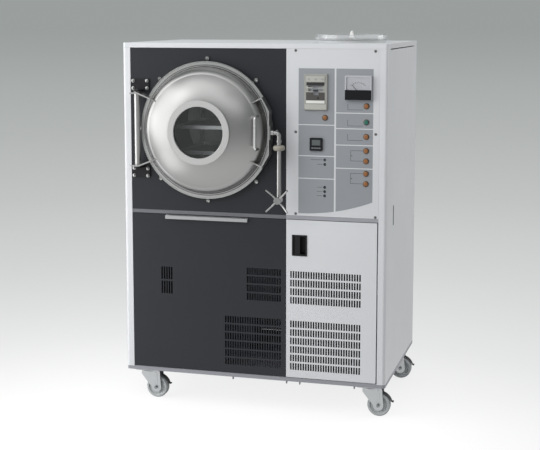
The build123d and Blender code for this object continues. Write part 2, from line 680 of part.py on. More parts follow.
def window_glass():
    """Disc of glass in the rebate of the neck."""
    front = -DOME_REACH - 1.0
    return rod_y(GLASS_R + GLASS_REBATE - SEAT, CHAMBER_X, (front, front + GLASS_T), CHAMBER_Z)


def door_handle():
    """Round wire handle bent to a D, its two feet on the dome."""
    x = CHAMBER_X + HANDLE_X
    z0, z1 = CHAMBER_Z - HANDLE_HALF, CHAMBER_Z + HANDLE_HALF
    foot = KNUCKLE_Y + 20
    path = FilletPolyline((x, foot, z0), (x, HANDLE_Y, z0), (x, HANDLE_Y, z1), (x, foot, z1), radius=10)
    wire = sweep(Plane(path @ 0, z_dir=path % 0) * Circle(HANDLE_R), path)
    return wire - dome_body(SEAT)


def hinge_brackets():
    """Two plates bolted to the panel, each with a lug that holds a hinge pin."""
    back = FACE_Y
    face = back - BRACKET_T
    pair = []
    for side in (-1, 1):
        near = CHAMBER_Z + side * (HINGE_HALF + SEAT)
        lug_z = sorted((near, near + side * LUG_T))
        plate_z = sorted((near, near + side * BRACKET_H))
        x = (HINGE_X - BRACKET_W / 2, HINGE_X + BRACKET_W / 2)
        plate = block(x, (face, back), plate_z)
        lug = block((HINGE_X - LUG_R, HINGE_X + LUG_R), (HINGE_Y, face), lug_z)
        lug += rod_z(LUG_R, HINGE_X, HINGE_Y, lug_z)
        piece = plate + lug - rod_z(HINGE_PIN_R + PIN_FIT, HINGE_X, HINGE_Y,
                                    (lug_z[0] - 1, lug_z[1] + 1))
        across, up = BRACKET_BOLTS
        for bolt_x in (HINGE_X - across / 2, HINGE_X + across / 2):
            for bolt_z in (11, 11 + up):
                piece += rod_y(4.5, bolt_x, (face - 3, face), near + side * bolt_z)
        pair.append(piece)
    return Compound(pair)


# --------------------------------------------------------------------- clamp
def clamp_bracket():
    """Bracket on the hasp that carries the clamp arm's pin."""
    face = CHAMBER_X + HASP_REACH + BAND_T / 2
    plate = block((face, face + 4), (CLAMP_Y - 15, CLAMP_Y + 15),
                  (CLAMP_PIVOT_Z - 26, CLAMP_PIVOT_Z + 26))
    boss = rod_x(CLAMP_PIN_R + 5, (face + 4, face + 14), CLAMP_Y, CLAMP_PIVOT_Z)
    bore = rod_x(CLAMP_PIN_R + PIN_FIT, (face - 1, face + 15), CLAMP_Y, CLAMP_PIVOT_Z)
    return plate + boss - bore


def clamp_arm():
    """Arm hung from its pin: an elbow, a collar and a straight rod with a fork."""
    face = CHAMBER_X + HASP_REACH + BAND_T / 2
    z = CLAMP_PIVOT_Z
    path = FilletPolyline((face + 14 + SEAT, CLAMP_Y, z), (CLAMP_X, CLAMP_Y, z),
                          (CLAMP_X, CLAMP_Y, z - 32), radius=CLAMP_ELBOW_R)
    arm = sweep(Plane(path @ 0, z_dir=path % 0) * Circle(CLAMP_ARM_R), path)
    arm += rod_x(CLAMP_PIN_R, (face + 1, face + 16), CLAMP_Y, z)
    end = z - CLAMP_LENGTH
    arm += rod_z(CLAMP_ARM_R, CLAMP_X, CLAMP_Y, (end, z - 30))
    arm += rod_z(CLAMP_ARM_R + 2.5, CLAMP_X, CLAMP_Y, (z - 34, z - 28))
    arm -= clamp_nut_space()
    eye = rod_y(CLAMP_ARM_R + 5, CLAMP_X, (CLAMP_Y - 9, CLAMP_Y + 9), STAR_Z)
    arm += eye
    return arm - rod_y(STAR_SPINDLE_R + PIN_FIT, CLAMP_X, (CLAMP_Y - 20, CLAMP_Y + 20), STAR_Z)


def clamp_nut_space():
    """Neck of the arm under the hand nut."""
    low, high = CLAMP_NUT_Z - CLAMP_NUT_H / 2, CLAMP_NUT_Z + CLAMP_NUT_H / 2
    ring = rod_z(CLAMP_ARM_R + 5, CLAMP_X, CLAMP_Y, (low - SEAT, high + SEAT))
    return ring - rod_z(CLAMP_ARM_R - 2, CLAMP_X, CLAMP_Y, (low - 1, high + 1))


def clamp_nut():
    """Rounded hand nut that turns on the arm's neck."""
    low, high = CLAMP_NUT_Z - CLAMP_NUT_H / 2, CLAMP_NUT_Z + CLAMP_NUT_H / 2
    bore = CLAMP_ARM_R - 2 + PIN_FIT
    nut = turned_z(((bore, low), (CLAMP_NUT_R, low), (CLAMP_NUT_R, high), (bore, high)),
                   CLAMP_X, CLAMP_Y)
    rims = nut.edges().filter_by(GeomType.CIRCLE).sort_by(SortBy.RADIUS)[-2:]
    return fillet(rims, CLAMP_NUT_H * 0.42)


def star_handle():
    """Four bent spokes on a hub, with a spindle through the arm's eye."""
    hub_y = (CLAMP_Y - 30, CLAMP_Y - 9 - SEAT)
    star = rod_y(STAR_HUB_R, 0, hub_y, 0)
    star += rod_y(STAR_SPINDLE_R, 0, (CLAMP_Y - 20, CLAMP_Y + 14), 0)
    start = Vector(STAR_HUB_R - 3, CLAMP_Y - 22, 0)
    path = FilletPolyline((start.X, start.Y, 0), (STAR_R * 0.5, start.Y, 0),
                          (STAR_R, start.Y - STAR_LEAN, 0), radius=14)
    spoke = sweep(Plane(path @ 0, z_dir=path % 0) * Circle(STAR_SPOKE_R), path)
    for turn in range(4):
        star += Rot(0, 45 + 90 * turn, 0) * spoke
    return Pos(CLAMP_X, 0, STAR_Z) * star


# ------------------------------------------------------- lower front panels
def tray_sheet(x, z, cutouts):
    """Front panel folded back on all four edges, with cut-outs through its face."""
    face = rectangle(x, z)
    for cutout in cutouts:
        face -= cutout
    panel = front_sheet(face, FACE_Y, FACE_Y + SHEET)
    rim = rectangle(x, z) - rectangle((x[0] + SHEET, x[1] - SHEET), (z[0] + SHEET, z[1] - SHEET))
    return panel + front_sheet(rim, FACE_Y + SHEET / 2, PANEL_BACK)


def service_span():
    """Width and height of the lower left panel."""
    x = (-COLUMN_X + RUN_GAP, DIVIDER_X - RUN_GAP / 2)
    return x, (PAN_TOP + RUN_GAP, DECK_LIP_Z - RUN_GAP)


def door_span():
    """Width and height of the lower right door."""
    x = (DIVIDER_X + RUN_GAP / 2, COLUMN_X - SWING_GAP)
    return x, (PAN_TOP + RUN_GAP, DECK_LIP_Z - RUN_GAP)


def service_panel():
    """Dark panel in front of the vacuum pump."""
    vents = [slot_field(*vent) for vent in SERVICE_VENTS]
    vents.append(slot_field(*SMALL_VENT, height=TALL_SLOT_H, rise=TALL_SLOT_PITCH_Z))
    (x0, x1), (z0, z1) = service_span()
    panel = tray_sheet((x0, x1), (z0, z1), vents)
    panel -= rod_x(TILT_PIN_R + PIN_FIT, (x0 - 1, x1 + 1), TILT_PIN_Y, tilt_axis_z())
    for edge, way in ((x0, 1), (x1, -1)):
        notch = sorted((edge + way * SHEET, edge + way * (SHEET + TILT_LUG_W + 4)))
        panel -= block(notch, (FACE_Y + SHEET, PANEL_BACK + 1), (z0 - 1, z0 + SHEET + 1))
    return panel - block((x0 - 1, x1 + 1), (PANEL_BACK - TILT_RELIEF, PANEL_BACK + 1),
                         (z0 - 1, tilt_axis_z() + 1))


def panel_pull():
    """Folded lip along the top of the service panel."""
    top = service_span()[1][1] - 1
    y = (FACE_Y - PULL_REACH, FACE_Y)
    lip = block(PULL_X, (y[0], y[0] + SHEET), (top - PULL_H, top - 2))
    shelf = block(PULL_X, y, (top - PULL_H, top - PULL_H + SHEET))
    back = block(PULL_X, (FACE_Y - SHEET, FACE_Y), (top - PULL_H, top))
    return lip + shelf + back


def condenser_door():
    """Pale slotted door in front of the condenser, with its two pin holes."""
    vents = [slot_field(DOOR_VENT_X, z, DOOR_VENT_COUNT, up) for z, up in DOOR_VENT_Z]
    hole = Pos(LATCH_X, LATCH_Z) * Rectangle(LATCH_W - 6, LATCH_H - 6)
    x, z = door_span()
    door = tray_sheet(x, z, vents + [hole])
    ear = (DOOR_PIN_X - 10, x[1] - SHEET / 2)
    for low, high in ((z[0], z[0] + SHEET), (z[1] - SHEET, z[1])):
        door += block(ear, (FACE_Y + 1, PANEL_BACK), (low, high))
        door -= rod_z(DOOR_PIN_R + PIN_FIT, DOOR_PIN_X, DOOR_PIN_Y, (low - 1, high + 1))
    return door


def latch_cup():
    """Black recessed frame of the latch."""
    half_w, half_h = LATCH_W / 2, LATCH_H / 2
    flange = block((LATCH_X - half_w, LATCH_X + half_w), (FACE_Y - 2, FACE_Y),
                   (LATCH_Z - half_h, LATCH_Z + half_h))
    well_x = (LATCH_X - half_w + 4, LATCH_X + half_w - 4)
    well_z = (LATCH_Z - half_h + 4, LATCH_Z + half_h - 4)
    well = block(well_x, (FACE_Y, FACE_Y + LATCH_DEPTH), well_z)
    hollow = block((well_x[0] + LATCH_WALL, well_x[1] - LATCH_WALL),
                   (FACE_Y - 3, FACE_Y + LATCH_DEPTH - LATCH_WALL),
                   (well_z[0] + LATCH_WALL, well_z[1] - LATCH_WALL))
    pin_x = well_x[0] + LATCH_WALL + 4
    pin = rod_z(1.5, pin_x, FACE_Y + 5, (well_z[0] + 1, well_z[1] - 1))
    return flange + well - hollow + pin


def latch_paddle():
    """Left half of the latch: a flap that turns on the upright pin."""
    well_x0 = LATCH_X - LATCH_W / 2 + 4 + LATCH_WALL
    z = (LATCH_Z - LATCH_H / 2 + 4 + LATCH_WALL + 0.5, LATCH_Z + LATCH_H / 2 - 4 - LATCH_WALL - 0.5)
    flap = block((well_x0 + 3.6, well_x0 + 25), (FACE_Y - 1, FACE_Y + 3), z)
    knuckle = rod_z(3.2, well_x0 + 4, FACE_Y + 5, z)
    flap += block((well_x0 + 20, well_x0 + 25), (FACE_Y + 2, FACE_Y + 9), z)
    return flap + knuckle - rod_z(1.5 + PIN_FIT, well_x0 + 4, FACE_Y + 5, (z[0] - 1, z[1] + 1))


# ------------------------------------------------------------------ controls
def breaker_case():
    """Moulded breaker behind a frame, with a sunk window for the toggle."""
    x, z, w, h = BREAKER
    face = FACE_Y - BREAKER_PROUD
    case = block((x - w / 2, x + w / 2), (face, FACE_Y), (z - h / 2, z + h / 2))
    case = chamfer(case.edges().filter_by(Plane.XZ).group_by(Axis.Y)[0], 2)
    case += block((x - w / 2 + 4, x + w / 2 - 4), (FACE_Y, FACE_Y + BREAKER_DEPTH),
                  (z - h / 2 + 4, z + h / 2 - 4))
    ww, wh = BREAKER_WINDOW
    case -= block((x - ww / 2, x + ww / 2), (face - 1, FACE_Y + 12),
                  (z + TOGGLE_Z - wh / 2, z + TOGGLE_Z + wh / 2))
    pin = rod_x(3, (x - ww / 2 - 1, x + ww / 2 + 1), FACE_Y + 6, z + TOGGLE_Z)
    return case + pin


def breaker_toggle():
    """Lever of the breaker on its cross pin."""
    x, z = BREAKER[0], BREAKER[1] + TOGGLE_Z
    half = TOGGLE_W / 2
    lever = rod_x(5.5, (x - half, x + half), FACE_Y + 6, z)
    lever += block((x - half, x + half), (FACE_Y - BREAKER_PROUD - 8, FACE_Y + 4), (z - 3, z + 3))
    return lever - rod_x(3 + PIN_FIT, (x - half - 1, x + half + 1), FACE_Y + 6, z)


def meter_case():
    """Panel meter: a flat-fronted case with a dial recess above a black band."""
    x, z, w, h = METER
    face = FACE_Y - METER_PROUD
    case = block((x - w / 2, x + w / 2), (face, FACE_Y), (z - h / 2, z + h / 2))
    case = fillet(case.edges().filter_by(Axis.Y), 4)
    dial_z = (z - h / 2 + METER_BAND_H, z + h / 2 - 4)
    case -= block((x - w / 2 + 4, x + w / 2 - 4), (face - 1, face + 8), dial_z)
    case += rod_y(METER_BODY_R, x, (FACE_Y, FACE_Y + METER_BODY_DEPTH), z)
    pivot_z = meter_pivot()
    case -= block((x - 11, x + 11), (face + 3, face + 8), (pivot_z - 7, dial_z[0] + 1))
    return case + rod_y(1.5, x, (face + 4, face + 8), pivot_z)


def meter_pivot():
    """Height of the needle's pivot."""
    return METER[1] - METER[3] / 2 + METER_BAND_H - 8


def meter_needle():
    """Needle on its pivot, at rest to the left of the scale."""
    x, pivot_z = METER[0], meter_pivot()
    face = FACE_Y - METER_PROUD
    hub = rod_y(4, 0, (face + 4.5, face + 6.5), 0)
    pointer = block((-0.8, 0.8), (face + 5, face + 6), (3, 36))
    tilted = Rot(0, -42, 0) * (hub + pointer)
    return Pos(x, 0, pivot_z) * tilted - rod_y(1.5 + PIN_FIT, x, (face, face + 9), pivot_z)


def temperature_controller():
    """Square controller with a raised bezel."""
    x, z, w, h = CONTROLLER
    face = FACE_Y - CONTROLLER_PROUD
    case = block((x - w / 2, x + w / 2), (face, FACE_Y), (z - h / 2, z + h / 2))
    case = fillet(case.edges().filter_by(Axis.Y), 3)
    case += block((x - w / 2 + 4, x + w / 2 - 4), (FACE_Y, FACE_Y + CONTROLLER_DEPTH),
                  (z - h / 2 + 4, z + h / 2 - 4))
    return case - block((x - 19, x + 19), (face - 1, face + 1.5), (z - 8, z + 18))


def indicator_lamps():
    """Five small round lamps and the supply lamp."""
    lamps = [rod_y(LAMP_R, x, (FACE_Y - 1.5, FACE_Y + 12), z) for x, z in LAMPS]
    lamps.append(push_button(*SUPPLY_LAMP))
    return Compound(lamps)


def push_button(x, z):
    """Domed push button with its plunger."""
    face = FACE_Y - BUTTON_PROUD
    r = BUTTON_R
    return turned_y((
        (0, face), (r * 0.7, face + 0.4), (r - 0.6, face + 1.4), (r, face + 2.6),
        (r, FACE_Y + 4), (r - 3, FACE_Y + 4), (r - 3, face + BUTTON_LENGTH), (0, face + BUTTON_LENGTH),
    ), x, z)


# ----------------------------------------------------------------- cold trap
def trap_vessel():
    """Deep pot hung in the top cover by its flange."""
    r, wall = TRAP_R, TRAP_WALL
    top = CAB_TOP + SEAT + TRAP_FLANGE_T
    pot = turned_z((
        (0, TRAP_BOTTOM), (r - 20, TRAP_BOTTOM), (r + wall, TRAP_BOTTOM + 22), (r + wall, CAB_TOP + SEAT),
        (TRAP_FLANGE_R, CAB_TOP + SEAT), (TRAP_FLANGE_R, top), (r, top), (r, TRAP_BOTTOM + 24),
        (r - 22, TRAP_BOTTOM + wall), (0, TRAP_BOTTOM + wall),
    ), TRAP_X, TRAP_Y)
    return pot - rod_x(DUCT_R - SHEET, (TRAP_X - r - 10, TRAP_X), TRAP_Y, DUCT_Z)


def lid_bottom():
    """Underside of the trap lid."""
    return CAB_TOP + SEAT + TRAP_FLANGE_T + SEAT


def trap_lid():
    """Clear round lid: a disc with a raised wall and a step into the pot."""
    low = lid_bottom()
    top = low + LID_H
    step = TRAP_R - 2
    return turned_z((
        (0, low - 4), (step, low - 4), (step, low), (LID_R - 2, low), (LID_R, low + 2),
        (LID_R, top - 2), (LID_R - 2, top), (LID_R - LID_WALL, top), (LID_R - LID_WALL, low + LID_T),
        (0, low + LID_T),
    ), TRAP_X, TRAP_Y)


def lid_knob():
    """White conical knob in the middle of the lid."""
    low = lid_bottom() + LID_T
    return turned_z((
        (0, low), (KNOB_R, low), (KNOB_R, low + 4), (KNOB_R - 3, low + 7), (5, low + KNOB_H - 4),
        (3, low + KNOB_H), (0, low + KNOB_H),
    ), TRAP_X, TRAP_Y)


# ----------------------------------------------------------------- machinery
def vacuum_pump():
    """Rotary vane pump: finned oil case and motor on a common foot."""
    x, y = PUMP_X, PUMP_Y
    foot = PAN_TOP
    pump = block((x - 170, x + 190), (y - 60, y + 60), (foot, foot + 12))
    pump += block((x - 160, x - 10), (y - 66, y + 66), (foot + 12, foot + 190))
    for i in range(6):
        fin_x = x - 146 + i * 22
        pump += block((fin_x, fin_x + 5), (y - 76, y + 76), (foot + 30, foot + 170))
    pump += rod_x(62, (x - 10, x + 180), y, foot + 92)
    pump += block((x + 20, x + 150), (y - 30, y + 30), (foot + 12, foot + 60))
    pump += block((x + 40, x + 110), (y - 28, y + 28), (foot + 150, foot + 172))
    return pump + rod_z(14, x - 110, y, (foot + 190, foot + 226))


def compressor():
    """Sealed refrigeration compressor on its foot plate."""
    x, y, r = COMPRESSOR_X, COMPRESSOR_Y, COMPRESSOR_R
    foot = PAN_TOP
    low, high = foot + 26, foot + COMPRESSOR_H
    body = rod_z(r, x, y, (low, high))
    body = fillet(body.edges().group_by(Axis.Z)[-1], r * 0.5)
    body = chamfer(body.edges().group_by(Axis.Z)[0], r * 0.2)
    body += turned_z(((r - 2, low + 90), (r + 6, low + 90), (r + 6, low + 96), (r - 2, low + 96)), x, y)
    body += block((x - 80, x + 80), (y - 80, y + 80), (foot + 18, low + 2))
    for dx in (-64, 64):
        for dy in (-64, 64):
            body += rod_z(13, x + dx, y + dy, (foot, foot + 20))
    return body


def condenser_coil():
    """Finned heat exchanger behind the slotted door."""
    (x0, x1), (y0, y1), (z0, z1) = COIL_X, COIL_Y, COIL_Z
    core = block((x0 + 4, x1 - 4), (y0 + 6, y1 - 4), (z0 + 4, z1 - 4))
    core += block((x0, x0 + 4), (y0, y1), (PAN_TOP, z1))
    core += block((x1 - 4, x1), (y0, y1), (PAN_TOP, z1))
    return core


def fan_shroud():
    """Plate with the fan's opening and the bridge that carries its motor."""
    (x0, x1), (z0, z1) = COIL_X, COIL_Z
    y0 = COIL_Y[1] + SEAT
    plate = rectangle((x0, x1), (PAN_TOP, z1)) - Pos(FAN_X, FAN_Z) * Circle(FAN_R + 8)
    shroud = front_sheet(plate, y0, y0 + SHEET)
    shroud -= block((x0 + 30, x1 - 30), (y0 - 1, y0 + 5), (PAN_TOP, PAN_TOP + 40))
    motor_y = (y0 + 62, y0 + 116)
    shroud += rod_y(36, FAN_X, motor_y, FAN_Z)
    for side in (-1, 1):
        arm_x = sorted((FAN_X + side * (FAN_R + 12), FAN_X + side * (FAN_R + 18)))
        shroud += block(arm_x, (y0 + SHEET, motor_y[0] + 12), (FAN_Z - 10, FAN_Z + 10))
        bar_x = sorted((FAN_X + side * 30, FAN_X + side * (FAN_R + 18)))
        shroud += block(bar_x, (motor_y[0] + 6, motor_y[0] + 12), (FAN_Z - 10, FAN_Z + 10))
    return shroud + rod_y(4, FAN_X, (y0 + 18, motor_y[0]), FAN_Z)


def fan_blade():
    """Five pitched blades on a hub."""
    y0 = COIL_Y[1] + SEAT
    hub_y = (y0 + 22, y0 + 56)
    fan = rod_y(FAN_HUB_R, FAN_X, hub_y, FAN_Z)
    sheet = Pos(0, 0, (FAN_HUB_R + FAN_R) / 2) * Box(62, 2, FAN_R - FAN_HUB_R + 8)
    blade = Pos(0, sum(hub_y) / 2, 0) * Rot(0, 0, 28) * sheet
    for i in range(FAN_BLADES):
        fan += Pos(FAN_X, 0, FAN_Z) * Rot(0, 360 / FAN_BLADES * i, 0) * blade
    fan &= rod_y(FAN_R, FAN_X, (hub_y[0] - 6, hub_y[1] + 6), FAN_Z)
    return fan - rod_y(4 + PIN_FIT, FAN_X, (hub_y[0] - 1, hub_y[1] + 1), FAN_Z)


# ------------------------------------------------------------------- casters
def caster_spots():
    """Swivel pins: name ending, x and y."""
    return {
        "front_left": (-CASTER_X, CASTER_Y),
        "front_right": (CASTER_X, CASTER_Y),
        "rear_left": (-CASTER_X, CAB_D - CASTER_Y),
        "rear_right": (CASTER_X, CAB_D - CASTER_Y),
    }


def crown_top():
    """Height of the forks' crowns."""
    return -PAD_H - 9 - SEAT


def caster_plates():
    """Mounting plates with their swivel pins."""
    plates = []
    crown = crown_top()
    for x, y in caster_spots().values():
        plate = block((x - 46, x + 46), (y - 38, y + 38), (-PAD_H - 4 - SEAT, -PAD_H - SEAT))
        plate += rod_z(22, x, y, (crown + SEAT, -PAD_H - 4 - SEAT))
        head = crown - FORK_T - SEAT
        plate += rod_z(KINGPIN_R, x, y, (head, -PAD_H - 8))
        plate += rod_z(KINGPIN_R + 4, x, y, (head - 5, head))
        plates.append(plate)
    return Compound(plates)


def caster_fork(x, y):
    """Pressed fork with a round crown, two raked legs, the axle and the pedal's pin."""
    top = crown_top()
    cx, cz = x + TRAIL, FLOOR + WHEEL_R
    fork = rod_z(30, x, y, (top - FORK_T, top))
    fork += block((x - 10, cx + 10), (y - WHEEL_SPACE - FORK_T, y + WHEEL_SPACE + FORK_T),
                  (top - FORK_T, top))
    edge = Polyline((cx - FORK_END_R, cz), (x - 29, top - 14), (x - 29, top), (cx + 14, top),
                    (cx + FORK_END_R, cz))
    edge += ThreePointArc((cx + FORK_END_R, cz), (cx, cz - FORK_END_R), (cx - FORK_END_R, cz))
    leg = make_face(edge)
    rib_w, rib_h = FORK_RIB
    rib = rectangle((cx - rib_w / 2, cx + rib_w / 2), (cz + AXLE_R + 3, top - FORK_T))
    for side in (-1, 1):
        outer = y + side * (WHEEL_SPACE + FORK_T)
        fork += front_sheet(leg, *sorted((y + side * WHEEL_SPACE, outer)))
        pressed = front_sheet(rib, *sorted((outer - side, outer + side * rib_h)))
        ridge = pressed.faces().sort_by(Axis.Y)[-1 if side > 0 else 0]
        fork += chamfer(ridge.edges(), rib_h * 0.8)
    fork -= rod_z(KINGPIN_R + PIN_FIT, x, y, (top - 10, top + 5))
    inside = (y - WHEEL_SPACE - 1, y + WHEEL_SPACE + 1)
    fork += rod_y(PEDAL_PIN_R, cx + PEDAL_PIN_AT[0], inside, cz + PEDAL_PIN_AT[1])
    reach = WHEEL_SPACE + FORK_T + 3
    return fork + rod_y(AXLE_R, cx, (y - reach, y + reach), cz)


def caster_wheel(x, y):
    """Moulded wheel with a rounded tread and a dished web."""
    half = WHEEL_W / 2
    r = WHEEL_R
    hub = AXLE_R + PIN_FIT
    wheel = revolve(make_face(Polyline(
        (hub, -half - 2), (14, -half - 2), (14, -half + 5), (r - 13, -half + 5), (r - 10, -half),
        (r - 4, -half), (r, -half + 5), (r, half - 5), (r - 4, half), (r - 10, half),
        (r - 13, half - 5), (14, half - 5), (14, half + 2), (hub, half + 2), close=True)), Axis.Y)
    return Pos(x + TRAIL, y, FLOOR + WHEEL_R) * wheel


def brake_pedal(x, y):
    """Black pedal over the wheel's shoulder, on its pin between the fork's legs."""
    cx, cz = x + TRAIL, FLOOR + WHEEL_R
    pin = (cx + PEDAL_PIN_AT[0], cz + PEDAL_PIN_AT[1])
    inner = WHEEL_R + PEDAL_CLEAR
    outer = inner + PEDAL_T
    start, mid, end = radians(90 - PEDAL_LEAD / WHEEL_R), radians(46), radians(18)
    near = [(cx + inner * cos(a), cz + inner * sin(a)) for a in (start, mid, end)]
    far = [(cx + outer * cos(a), cz + outer * sin(a)) for a in (end, mid, start)]
    tip = cx + PEDAL_TIP
    edge = ThreePointArc(*near)
    edge += Polyline(near[2], (tip, cz + 12), (tip, cz + 16), far[0])
    edge += ThreePointArc(*far)
    edge += Line(far[2], near[0])
    pedal = front_sheet(make_face(edge), y - PEDAL_W / 2, y + PEDAL_W / 2)
    knuckle = (y - PEDAL_KNUCKLE_W / 2, y + PEDAL_KNUCKLE_W / 2)
    clear = (y - PEDAL_KNUCKLE_W, y + PEDAL_KNUCKLE_W)
    pedal += rod_y(PEDAL_PIN_R + 3, pin[0], knuckle, pin[1])
    pedal -= rod_y(WHEEL_R + PEDAL_CLEAR - 1, cx, clear, cz)
    return pedal - rod_y(PEDAL_PIN_R + PIN_FIT, pin[0], clear, pin[1])


SINGLE_PARTS = (
    base_frame, inner_frame, left_side_panel, right_side_panel, rear_panel, top_cover,
    chamber_panel, control_panel, chamber_vessel, door_seal, cap_nuts, shelf_rack,
    trap_vessel, trap_lid, lid_knob, vacuum_pump, compressor, condenser_coil, fan_shroud,
    fan_blade, hinge_brackets, caster_plates, breaker_case, breaker_toggle, meter_case,
    meter_needle, temperature_controller, indicator_lamps, door_dome, window_ring,
    window_glass, door_handle, clamp_bracket, clamp_arm, clamp_nut, star_handle,
    service_panel, panel_pull, condenser_door, latch_cup, latch_paddle,
)


def main():
    os.makedirs("parts", exist_ok=True)
    parts = {make.__name__: make() for make in SINGLE_PARTS}
    for name, (x, z) in BUTTONS.items():
        parts[name] = push_button(x, z)
    for corner, (x, y) in caster_spots().items():
        parts["fork_" + corner] = caster_fork(x, y)
        parts["wheel_" + corner] = caster_wheel(x, y)
        parts["pedal_" + corner] = brake_pedal(x, y)
    for name, shape in parts.items():
        placed = shape.moved(Location((-ORIGIN[0], -ORIGIN[1], -ORIGIN[2])))
        export_step(placed, os.path.join("parts", name + ".step"))
    print(len(parts), "sub-parts written")


if __name__ == "__main__":
    main()
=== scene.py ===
import math

import bmesh
import bpy
from mathutils import Matrix, Vector


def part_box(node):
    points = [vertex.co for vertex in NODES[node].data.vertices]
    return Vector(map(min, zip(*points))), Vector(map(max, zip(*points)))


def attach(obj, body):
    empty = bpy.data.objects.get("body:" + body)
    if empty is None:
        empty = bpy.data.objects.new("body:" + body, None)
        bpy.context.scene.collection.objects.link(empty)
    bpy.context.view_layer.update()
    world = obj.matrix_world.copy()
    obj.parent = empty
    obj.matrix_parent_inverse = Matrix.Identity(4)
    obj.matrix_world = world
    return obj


bl_info = {
    "name": "Freeze dryer",
    "version": (1, 0, 0),
    "blender": (4, 5, 0),
    "location": "View3D > Sidebar > Freeze dryer",
    "description": "Finishes and trim for a floor-standing freeze dryer with a domed chamber door",
    "category": "Object",
}

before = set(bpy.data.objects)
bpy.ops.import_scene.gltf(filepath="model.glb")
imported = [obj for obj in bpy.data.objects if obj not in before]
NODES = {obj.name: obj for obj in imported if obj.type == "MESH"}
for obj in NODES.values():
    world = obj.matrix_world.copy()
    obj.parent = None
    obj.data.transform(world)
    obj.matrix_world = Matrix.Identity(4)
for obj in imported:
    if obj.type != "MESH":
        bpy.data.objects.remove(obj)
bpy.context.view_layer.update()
CORNERS = ("front_left", "front_right", "rear_left", "rear_right")
AMBER_BUTTONS = ("button_pump", "button_freeze", "button_vacuum", "button_drying",
                 "button_heater", "button_defrost")
GREEN_BUTTON = "button_start"

# The cabinet's own axes, in millimetres: x from its middle, y from its front
# face, z from the underside of its base rail.
COVER_TOP = 1282.0
BASE_LOW, BASE_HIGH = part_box("base_frame")
RAIL_FOOT = Vector((
    (BASE_LOW.x + BASE_HIGH.x) / 2, BASE_LOW.y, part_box("top_cover")[1].z - COVER_TOP / 1000))
PANEL_FACE = 0.5
FILM_SINK = 0.05        # how far a thin film reaches into the sheet that it lies on

# Axis of the drying chamber and its door
CHAMBER_X = -173.0
CHAMBER_Z = 955.0
RIM_T = 12.0            # thickness of the door's rim
RIM_W = 21.5            # from the door's edge to the foot of its knuckle

# Mouth of the upright pull in a side panel
SIDE_PULL_Y = (138.1, 155.9)
SIDE_PULL_Z = (596.1, 671.9)

# Lamps of the control panel: the round one under the breaker, and the five small ones
SUPPLY_LAMP = (281.0, 1011.0)
SMALL_LAMPS_Z = (854.5, 837.5, 752.0, 736.0, 720.0)

BLACK = (0.02, 0.02, 0.02)
AMBER = (0.31, 0.13, 0.045)


def at(x, y, z):
    """Point of the cabinet, given in millimetres, in the frame's metres."""
    return RAIL_FOOT + Vector((x, y, z)) / 1000


def extent(node):
    """Ends of a CAD node along x, y and z, in the cabinet's millimetres."""
    low, high = ((corner - RAIL_FOOT) * 1000 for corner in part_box(node))
    return tuple(zip(low, high))


